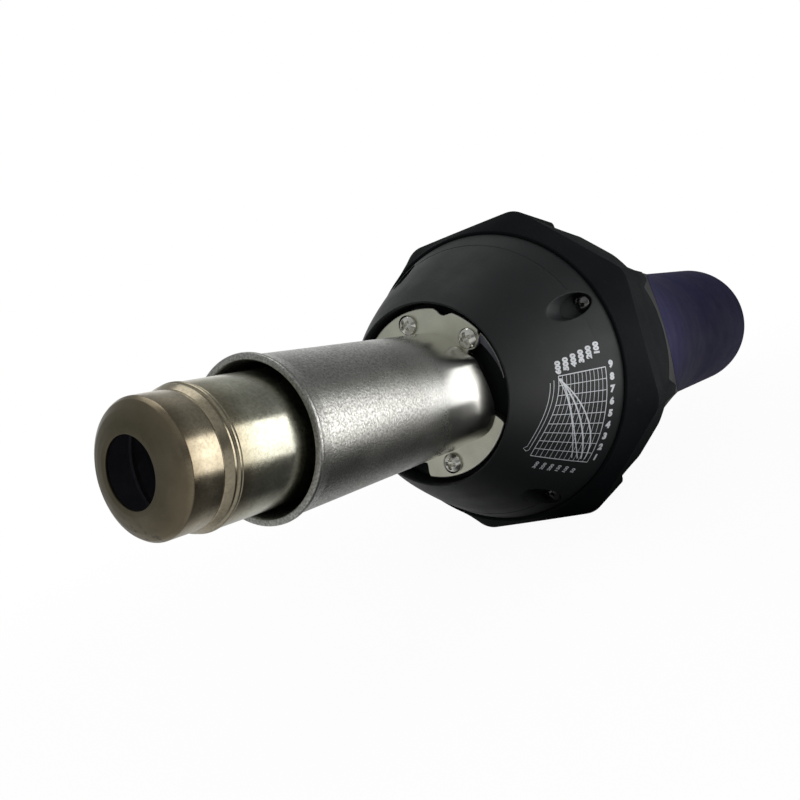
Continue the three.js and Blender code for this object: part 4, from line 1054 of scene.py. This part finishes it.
# Station and radius in the dial's own frame, with the depth of its ridges
DIAL_OUTLINE = ((28.15, 0.01, 0), (28.2, 3.0, 0), (28.15, 6.6, 0), (27.95, 7.35, 0.1), (27.5, 7.8, 0.3),
                (26.4, 7.95, 0.35), (25.25, 7.95, 0.35), (25.2, 5.0, 0), (21.2, 5.0, 0), (21.2, 3.3, 0),
                (25.5, 3.3, 0), (25.5, 0.01, 0))


def temperature_dial():
    rows = []
    for s, r, ridge in DIAL_OUTLINE:
        row = []
        for a in round_angles(4 * DIAL_RIDGES):
            row.append(spot(s, r - ridge * (0.5 - 0.5 * cos(radians(DIAL_RIDGES * a))), a))
        rows.append(row)
    piece = build("temperature_dial_knob", grid(rows, closed_rows=False), DIAL, BLACK, body="dial",
                  replaces="temperature_dial", angle=35)
    cut_with(piece, cutter(rounded_box((1.3, 10.4, 1.25), 0.25, 2, (-28.1, 0, 0)), POINTER))
    mark = rounded_box((0.4, 3.2, 0.85), 0.15, 2, (-27.62, -3.1, 0))
    build("dial_pointer", mark, POINTER, PRINT, body="dial")


# Main switch
SWITCH_STATION = 244
SWITCH_SLOPE = atan((flare(SWITCH_STATION - 15) - flare(SWITCH_STATION + 15)) / 30)
SWITCH_PLACE = (-SWITCH_STATION * MM, 0, (flare(SWITCH_STATION) + 0.9) * MM)
SWITCH = TOOL @ Matrix.Translation(SWITCH_PLACE) @ Matrix.Rotation(-SWITCH_SLOPE, 4, "Y")
ROCKER = SWITCH @ Matrix.Translation((0, 0, -0.3 * MM)) @ Matrix.Rotation(radians(7), 4, "Y")
KEY_LENGTH = 17.4
KEY_WIDTH = 9.3
# Place of the signs on the key's flats, and the slope there
MARK_X = 6.2
MARK_Z = 1.41
MARK_SLOPE = radians(4.6)


def switch():
    """The pad on the housing, the switch's frame and its lower body, each with a rounded hole."""
    blocks = (
        ("rear_housing_pad", None, COLLAR, ((29.6, 18.6, 5.2), 0.7, 4, (0, 0, -2.65)),
         ((22.4, 13.4, 12.0), 0.4, 2, (0, 0, 0))),
        ("switch_housing", "switch_body", BLACK, ((25.8, 16.8, 1.6), 0.55, 4, (0, 0, 1.1)),
         ((18.4, 10.1, 12.0), 0.5, 3, (0, 0, 1.0))),
        ("switch_lower", None, BLACK, ((21.9, 12.9, 11.2), 0.3, 2, (0, 0, -5.35)),
         ((18.4, 10.1, 10.0), 0.5, 3, (0, 0, 0.2))),
    )
    for name, node, material, block, hole in blocks:
        piece = build(name, rounded_box(*block), SWITCH, material, replaces=node)
        cut_with(piece, cutter(rounded_box(*hole), SWITCH))
    terminals = [rounded_box((0.8, 5.0, 6.0), 0.15, 1, (7 * k, 0, -13.6)) for k in (-1, 0, 1)]
    build("switch_terminals", merge(*terminals), SWITCH, BRASS)


def rocker_key():
    """The rocker's side outline, swept across its width with rounded sides."""
    x = KEY_LENGTH / 2
    y = KEY_WIDTH / 2
    outline = soften([(-x, 1.2, 0.5), (-x, -1.2, 0.3), (0, -3.6, 0.6), (x, -1.2, 0.3), (x, 1.2, 0.5),
                      (x * 0.5, 1.55, 3.0), (0, 2.5, 1.6), (-x * 0.5, 1.55, 3.0)], steps=5)
    rows = []
    for across, inset in ((-y, 0.35), (-y + 0.12, 0.12), (-y + 0.4, 0.0),
                          (y - 0.4, 0.0), (y - 0.12, 0.12), (y, 0.35)):
        rows.append([(px * (1 - inset / 8), across, pz * (1 - inset / 3.2)) for px, pz in outline])
    verts, faces = grid(rows, closed_rows=False)
    last = len(verts) - 1
    faces.append(tuple(range(len(outline))))
    faces.append(tuple(range(last, last - len(outline), -1)))
    return verts, faces


def rocker():
    build("switch_rocker_key", rocker_key(), ROCKER, BLACK, body="rocker", replaces="switch_rocker",
          angle=45)
    ring = lathe([(-0.08, 0.95), (-0.08, 1.35), (0.08, 1.35), (0.08, 0.95)], 40)
    signs = []
    ring = moved(ring, Matrix.Rotation(QUARTER, 4, "Y"))
    for side, sign in ((1, rounded_box((2.6, 0.5, 0.16), 0.05, 1)), (-1, ring)):
        place = Matrix.Translation((side * MARK_X, 0, MARK_Z)) @ Matrix.Rotation(side * MARK_SLOPE, 4, "Y")
        signs.append(moved(sign, place))
    build("rocker_marks", merge(*signs), ROCKER, PRINT, body="rocker")


# Rear end
SLOTS = 10
SLOT_INNER = 12
SLOT_OUTER = 18
SLOT_SPAN = 360 / SLOTS / 4
CAP_SCREW_CIRCLE = 22.94
TAB_ANGLE = 18


def air_disc(name, start, end, radius, cut, material, body, replaces):
    """A flat disc round the cord, with its air slots cut out between two stations."""
    bore = 9.2
    bevel = 0.25
    outline = [(start, bore, bevel), (start, radius, bevel), (end, radius, bevel), (end, bore, bevel)]
    piece = build(name, lathe(soften(outline, steps=3), 240), TOOL, material, body=body, replaces=replaces)
    cut_with(piece, *[slot_cutter(360 / SLOTS * k, *cut) for k in range(SLOTS)])


def slot_cutter(middle, start, end):
    """A closed block in the shape of one air slot, with rounded corners."""
    outline = []
    for r, direction in ((SLOT_OUTER, 1), (SLOT_INNER, -1)):
        outline += [spot(0, r, middle + direction * SLOT_SPAN * (i / 4 * 2 - 1))[1:] for i in range(5)]
    outline = soften([(y, z, 0.8 if i in (0, 4, 5, 9) else 0) for i, (y, z) in enumerate(outline)])
    verts = [(-start, y, z) for y, z in outline] + [(-end, y, z) for y, z in outline]
    n = len(outline)
    faces = [tuple(range(n)), tuple(range(2 * n - 1, n - 1, -1))]
    faces += [(i, i + n, (i + 1) % n + n, (i + 1) % n) for i in range(n)]
    return cutter((verts, faces), TOOL)


def rear_end():
    air_disc("rear_cap_disc", 339.8, 342.3, 25.9, (339, 343), BLACK, "tool", "rear_cap")
    air_disc("air_slide_disc", 342.6, 344.0, 19.5, (342, 345), COLLAR, "slide", "air_slide")
    tab = moved(rounded_box((3.4, 2.4, 1.6), 0.35, 3, (-344.7, 0, 18.5)),
                Matrix.Rotation(-radians(TAB_ANGLE), 4, "X"))
    build("air_slide_tab", tab, TOOL, COLLAR, body="slide")
    put_screws("cap_screw", cross_screw(1.6, 1.45, 10.8), TOOL, 342.55, CAP_SCREW_CIRCLE,
               ((0, 0.3), (180, 1.3)), STEEL_SCREW, Matrix.Rotation(pi, 4, "Z"))
    seat = [(327.9, 3.9, 0.3), (327.9, 8.6, 0.5), (344.3, 8.6, 0.2), (344.3, 10.95, 0.3),
            (346.4, 10.9, 0.6)]
    ribs = [(346.7, 7.6, 0.5), (347.5, 7.0, 0.3), (347.9, 7.3, 0.3), (348.4, 6.7, 0.3), (348.8, 6.9, 0.3),
            (349.3, 6.4, 0.3), (349.3, 3.9, 0.5)]
    build("cord_gland_body", lathe(soften(seat + ribs, steps=5), 128), TOOL, RUBBER,
          replaces="cord_gland", angle=40)


# Printed chart and numbers
DOME_SLOPE = 0.46
CHART_RADIUS = 36.6
CHART_LIFT = 0.05
NUMBERS_LIFT = 0.04
# Angles of the chart's top and bottom, and its right side in mm along the dome from the chart's radius
CHART_TOP = 72.0
CHART_BOTTOM = 111.5
CHART_RIGHT = 12.4
UPRIGHTS = 12
LEVELS = 9
# Each curve: its first and last share of the width, its bend and its line width
CURVES = ((0.02, 0.86, 2.6, 0.5), (0.0, 0.92, 5.4, 0.42), (0.05, 0.8, -0.4, 0.36), (0.0, 0.7, 1.0, 0.3))
# Turn of the scale numbers in the chart's plane
LEANING = pi * 0.97
DIAL_NUMBERS_RADIUS = 13.4


def chart_scale(v):
    """Length of one degree round the hood."""
    return radians(1) * (CHART_RADIUS + v * DOME_SLOPE)


def on_dome(u, v):
    """A point just off the hood: u is degrees round it, v is mm along the dome."""
    r = CHART_RADIUS + v * DOME_SLOPE
    a = radians(u)
    rise = sqrt(1 - DOME_SLOPE * DOME_SLOPE)
    out = Vector((DOME_SLOPE, sin(a) * rise, cos(a) * rise))
    return Vector((-smooth_dome(r), r * sin(a), r * cos(a))) + out * CHART_LIFT


def stroke(points, thick):
    """A flat line of a given width through (u, v) points on the dome."""
    verts, faces = [], []
    for i, (u, v) in enumerate(points):
        a = points[max(i - 1, 0)]
        b = points[min(i + 1, len(points) - 1)]
        scale = chart_scale(v)
        direction = Vector(((b[0] - a[0]) * scale, b[1] - a[1])).normalized()
        side = Vector((-direction.y, direction.x)) * thick / 2
        for sign in (1, -1):
            verts.append(tuple(on_dome(u + sign * side.x / scale, v + sign * side.y)))
        if i:
            faces.append((2 * i - 2, 2 * i - 1, 2 * i + 1, 2 * i))
    return verts, faces


def digits(text, u, v, height, turn, mapper, weight):
    """Plain numerals from Blender's own font, laid on a surface by mapper(u, v, x, y)."""
    curve = bpy.data.curves.new("numeral", "FONT")
    curve.body = text
    curve.size = height * 1.35
    curve.align_x = "CENTER"
    curve.align_y = "CENTER"
    curve.resolution_u = 3
    curve.offset = weight * height
    holder = bpy.data.objects.new("numeral", curve)
    scene.collection.objects.link(holder)
    bpy.context.view_layer.update()
    mesh = bpy.data.meshes.new_from_object(holder.evaluated_get(bpy.context.evaluated_depsgraph_get()))
    c, s = cos(turn), sin(turn)
    verts = [tuple(mapper(u, v, p.co.x * c - p.co.y * s, p.co.x * s + p.co.y * c)) for p in mesh.vertices]
    faces = [tuple(face.vertices) for face in mesh.polygons]
    bpy.data.objects.remove(holder)
    bpy.data.meshes.remove(mesh)
    return verts, faces


def dome_mapper(u, v, x, y):
    return on_dome(u + x / chart_scale(v), v + y)


def handle_mapper(station, degrees, x, y):
    s = station - x
    return Vector(spot(s, flare(s) + NUMBERS_LIFT, degrees + in_degrees(y / HANDLE_RADIUS)))


def chart_left(u):
    """The slanting left side of the chart."""
    return -4.0 - 5.2 * blend(u, CHART_TOP, CHART_BOTTOM)


def chart_point(u, share, shift=0.0):
    return (u, chart_left(u) + (CHART_RIGHT - chart_left(u)) * share + shift)


def upright(share, start=CHART_TOP, end=CHART_BOTTOM, shift=0.0):
    return [chart_point(start + (end - start) * i / 26, share, shift) for i in range(27)]


def chart_curve(first, last, bend):
    line = []
    for i in range(31):
        k = i / 30
        u = CHART_TOP + 1.2 + (CHART_BOTTOM - CHART_TOP - 2.6) * k
        line.append(chart_point(u, first + (last - first) * k, bend * 4 * k * (1 - k) * (0.6 + 0.4 * k)))
    return line


def chart_lines():
    lines = [(upright(k / UPRIGHTS), 0.24 if k in (0, UPRIGHTS) else 0.15) for k in range(UPRIGHTS + 1)]
    for k in range(LEVELS + 1):
        u = CHART_TOP + (CHART_BOTTOM - CHART_TOP) * k / LEVELS
        level = [chart_point(u, i / 12) for i in range(13)]
        lines.append((level, 0.26 if k in (0, LEVELS) else 0.19))
    for first, last, bend, thick in CURVES:
        lines.append((chart_curve(first, last, bend), thick))
    lines.append((upright(0.0, 73.5, 108.5, -1.7), 0.2))
    lines.append((upright(0.0, 74.5, 106.5, -3.0), 0.2))
    low = chart_left(108.5)
    hook = [(108.5, low - 1.7), (109.4, low - 2.6), (108.0, low - 4.0), (106.5, chart_left(106.5) - 3.0)]
    lines.append((hook, 0.2))
    return [stroke(line, thick) for line, thick in lines]


def chart_numbers():
    numbers = []
    for k in range(9):
        u = CHART_TOP - 0.6 + 37.6 * k / 8
        numbers.append(digits(str(9 - k), u, CHART_RIGHT + 1.9, 1.95, QUARTER, dome_mapper, 0.10))
    for k in range(6):
        v = CHART_RIGHT - 1.7 - 2.85 * k
        numbers.append(digits(str(100 * k + 100), 64.2 + 0.8 * k, v, 1.75, LEANING, dome_mapper, 0.10))
    for k in range(6):
        v = CHART_RIGHT - 3.0 - 2.9 * k
        numbers.append(digits(str(50 * k + 50), 116.4, v, 1.25, LEANING, dome_mapper, 0.05))
    return numbers


def printing():
    chart = merge(*chart_lines(), *chart_numbers())
    build("chart_print", chart, ROLLED, PRINT, recalc=False, weld=0.0)
    numbers = []
    for k in range(9):
        a = radians(DIAL_SWEEP * (k / 8 - 0.5))
        station = DIAL_STATION - DIAL_NUMBERS_RADIUS * sin(a)
        degrees = -90 - in_degrees(DIAL_NUMBERS_RADIUS * cos(a) / HANDLE_RADIUS)
        numbers.append(digits(str(k + 1), station, degrees, 2.2, 0.0, handle_mapper, 0.03))
    build("dial_numbers", merge(*numbers), TOOL, PRINT, recalc=False, weld=0.0)


# Floor, background and light
WHITE = (1.0, 1.0, 1.0)
FLOOR_SEEN = (0.88, 0.88, 0.88)
# Painted shadow: the floor's tone under the tool, as metal and glass see it
FLOOR_PAINTED_SHADOW = (0.07, 0.07, 0.07)
FLOOR_TONE = (0.50, 0.50, 0.49)
# Share of plain white at the tool, and the distances over which the floor goes fully white
FLOOR_LIFT_NEAR = 0.955
FLOOR_FADE = (0.02, 0.36)
# Painted light: white glow that metal sees off the floor, low in the painted shadow and higher elsewhere
FLOOR_GLOW_MIRRORED = (0.02, 0.40)
FLOOR_HALF = 6
FLOOR_DROP = 0.0002
ROOM_TONE = (0.97, 1.0, 0.99)
ROOM_DARK = 0.19
ROOM_BRIGHT = 0.40
LAMP_TARGET = Vector((0.03, 0.0, 0.055))
LAMP_DIRECTION = Vector((-0.1, -0.1, 1.0))
LAMP_DISTANCE = 1.2
LAMP_SIDE = 0.8
# The leaning panels: distance and height of their lower and upper edges
PANEL_NEAR = 0.115
PANEL_FAR = 0.42
PANEL_LOW = 0.004
PANEL_HIGH = 0.19


def ray_kinds(n, seen, mirrored):
    """A factor for rays from the camera, and another for rays off metal and through glass."""
    path = n.new("LightPath").outputs
    both = n.math("MAXIMUM", path["Is Glossy Ray"], path["Is Transmission Ray"])
    return n.math("MULTIPLY_ADD", path["Is Camera Ray"], seen, n.math("MULTIPLY", both, mirrored))


def floor_material():
    """A pale floor that fades to white round the tool and keeps the tool's shadow; as metal sees it, a shadow
    is painted under the tool and a white glow is painted elsewhere.
    """
    material = bpy.data.materials.new("floor_white")
    material.use_nodes = True
    n = Tree(material.node_tree)
    coords = n.new("TexCoord").outputs["Object"]
    length = n.new("VectorMath")
    length.operation = "LENGTH"
    n.link(coords, length.inputs[0])
    seen = n.span(length.outputs["Value"], *FLOOR_FADE, FLOOR_LIFT_NEAR, 1.0)
    axes = n.split(coords)
    far_side = n.span(axes["Y"], 0.01, -0.03)
    in_front = n.span(axes["X"], 0.13, 0.19)
    rear = n.span(axes["X"], -0.02, -0.10)
    pale = n.math("MAXIMUM", n.math("MAXIMUM", far_side, in_front), rear)
    # Painted shadow: dark under the tool, pale on the far side, in front and behind
    tone = n.mix(pale, FLOOR_PAINTED_SHADOW, FLOOR_TONE)
    tone = n.mix(n.new("LightPath").outputs["Is Camera Ray"], tone, FLOOR_SEEN)
    matte = n.new("BsdfDiffuse")
    n.link(tone, matte.inputs["Color"])
    glow = n.new("Emission")
    n.feed(glow.inputs["Color"], WHITE)
    # Painted light: a white glow for rays off metal and through glass, kept low in the painted shadow
    mirrored = n.span(pale, 0.0, 1.0, *FLOOR_GLOW_MIRRORED)
    n.mix_shaders(ray_kinds(n, seen, mirrored), matte, glow, "OutputMaterial")
    return material


def stage_floor():
    mesh = bpy.data.meshes.new("floor")
    corners = [(x * FLOOR_HALF, y * FLOOR_HALF, 0) for x, y in ((-1, -1), (1, -1), (1, 1), (-1, 1))]
    mesh.from_pydata(corners, [], [(0, 1, 2, 3)])
    mesh.materials.append(floor_material())
    floor = bpy.data.objects.new("floor", mesh)
    scene.collection.objects.link(floor)
    floor.location.z = -FLOOR_DROP


def studio_world():
    """A white backdrop low on the far side, in a grey room that is darker on the near side."""
    world = bpy.data.worlds.new("studio")
    scene.world = world
    world.use_nodes = True
    n = Tree(world.node_tree)
    axes = n.split(n.new("TexCoord").outputs["Generated"])
    low_down = n.span(axes["Z"], 0.50, 0.34)
    far_side = n.span(axes["Y"], -0.10, -0.50)
    behind = n.span(axes["X"], -0.05, -0.45)
    backdrop = n.math("MULTIPLY", n.math("MULTIPLY", low_down, far_side), behind)
    beside_tool = n.span(axes["Y"], -0.35, 0.15)
    rear = n.span(axes["X"], 0.20, -0.30)
    near_side = n.span(axes["Y"], 0.15, 0.50)
    not_high = n.span(axes["Z"], 0.25, 0.45, 1.0, 0.0)
    dark = n.math("MAXIMUM", n.math("MULTIPLY", beside_tool, rear), n.math("MULTIPLY", near_side, not_high))
    white = n.new("Background")
    n.feed(white.inputs["Color"], WHITE)
    room = n.new("Background")
    n.feed(room.inputs["Color"], ROOM_TONE)
    n.link(n.span(dark, 0.0, 1.0, ROOM_BRIGHT, ROOM_DARK), room.inputs["Strength"])
    n.mix_shaders(ray_kinds(n, 1.0, backdrop), room, white, "OutputWorld")


def area_lamp(name, width, height, radiance, color=WHITE):
    data = bpy.data.lights.new(name, "AREA")
    data.shape = "RECTANGLE"
    data.size = width
    data.size_y = height
    data.energy = radiance * pi * width * height
    data.color = color
    lamp = bpy.data.objects.new(name, data)
    scene.collection.objects.link(lamp)
    lamp.visible_camera = False
    return lamp


def top_lamp():
    lamp = area_lamp("top", LAMP_SIDE, LAMP_SIDE, 1.2)
    lamp.location = LAMP_TARGET + LAMP_DIRECTION.normalized() * LAMP_DISTANCE
    lamp.rotation_euler = (LAMP_TARGET - lamp.location).to_track_quat("-Z", "Y").to_euler()


def leaning_panel(name, foot, azimuth, width, radiance, color=WHITE):
    """A panel that leans back from the floor beside a point under the tool."""
    a = radians(azimuth)
    away = Vector((cos(a), sin(a), 0))
    bottom = Vector((foot, 0, PANEL_LOW)) + away * PANEL_NEAR
    top = Vector((foot, 0, PANEL_HIGH)) + away * PANEL_FAR
    slope = (top - bottom).normalized()
    back = (away - slope * away.dot(slope)).normalized()
    lamp = area_lamp(name, width, (top - bottom).length, radiance, color)
    lamp.matrix_world = axes_frame(slope.cross(back), slope, back, (top + bottom) / 2)


dress_inner_nodes()
heating_tube()
protective_tube()
front_screws()
front_hood()
rubber_stand()
rear_housing()
handle()
temperature_dial()
switch()
rocker()
rear_end()
printing()
stage_floor()
studio_world()
leaning_panel("key_nozzle", 0.165, 128, 0.10, 2.0, (1.0, 0.99, 0.96))
leaning_panel("key_sleeve", 0.080, 131, 0.085, 1.8)
top_lamp()
scene.view_settings.view_transform = "Standard"
scene.view_settings.look = "None"
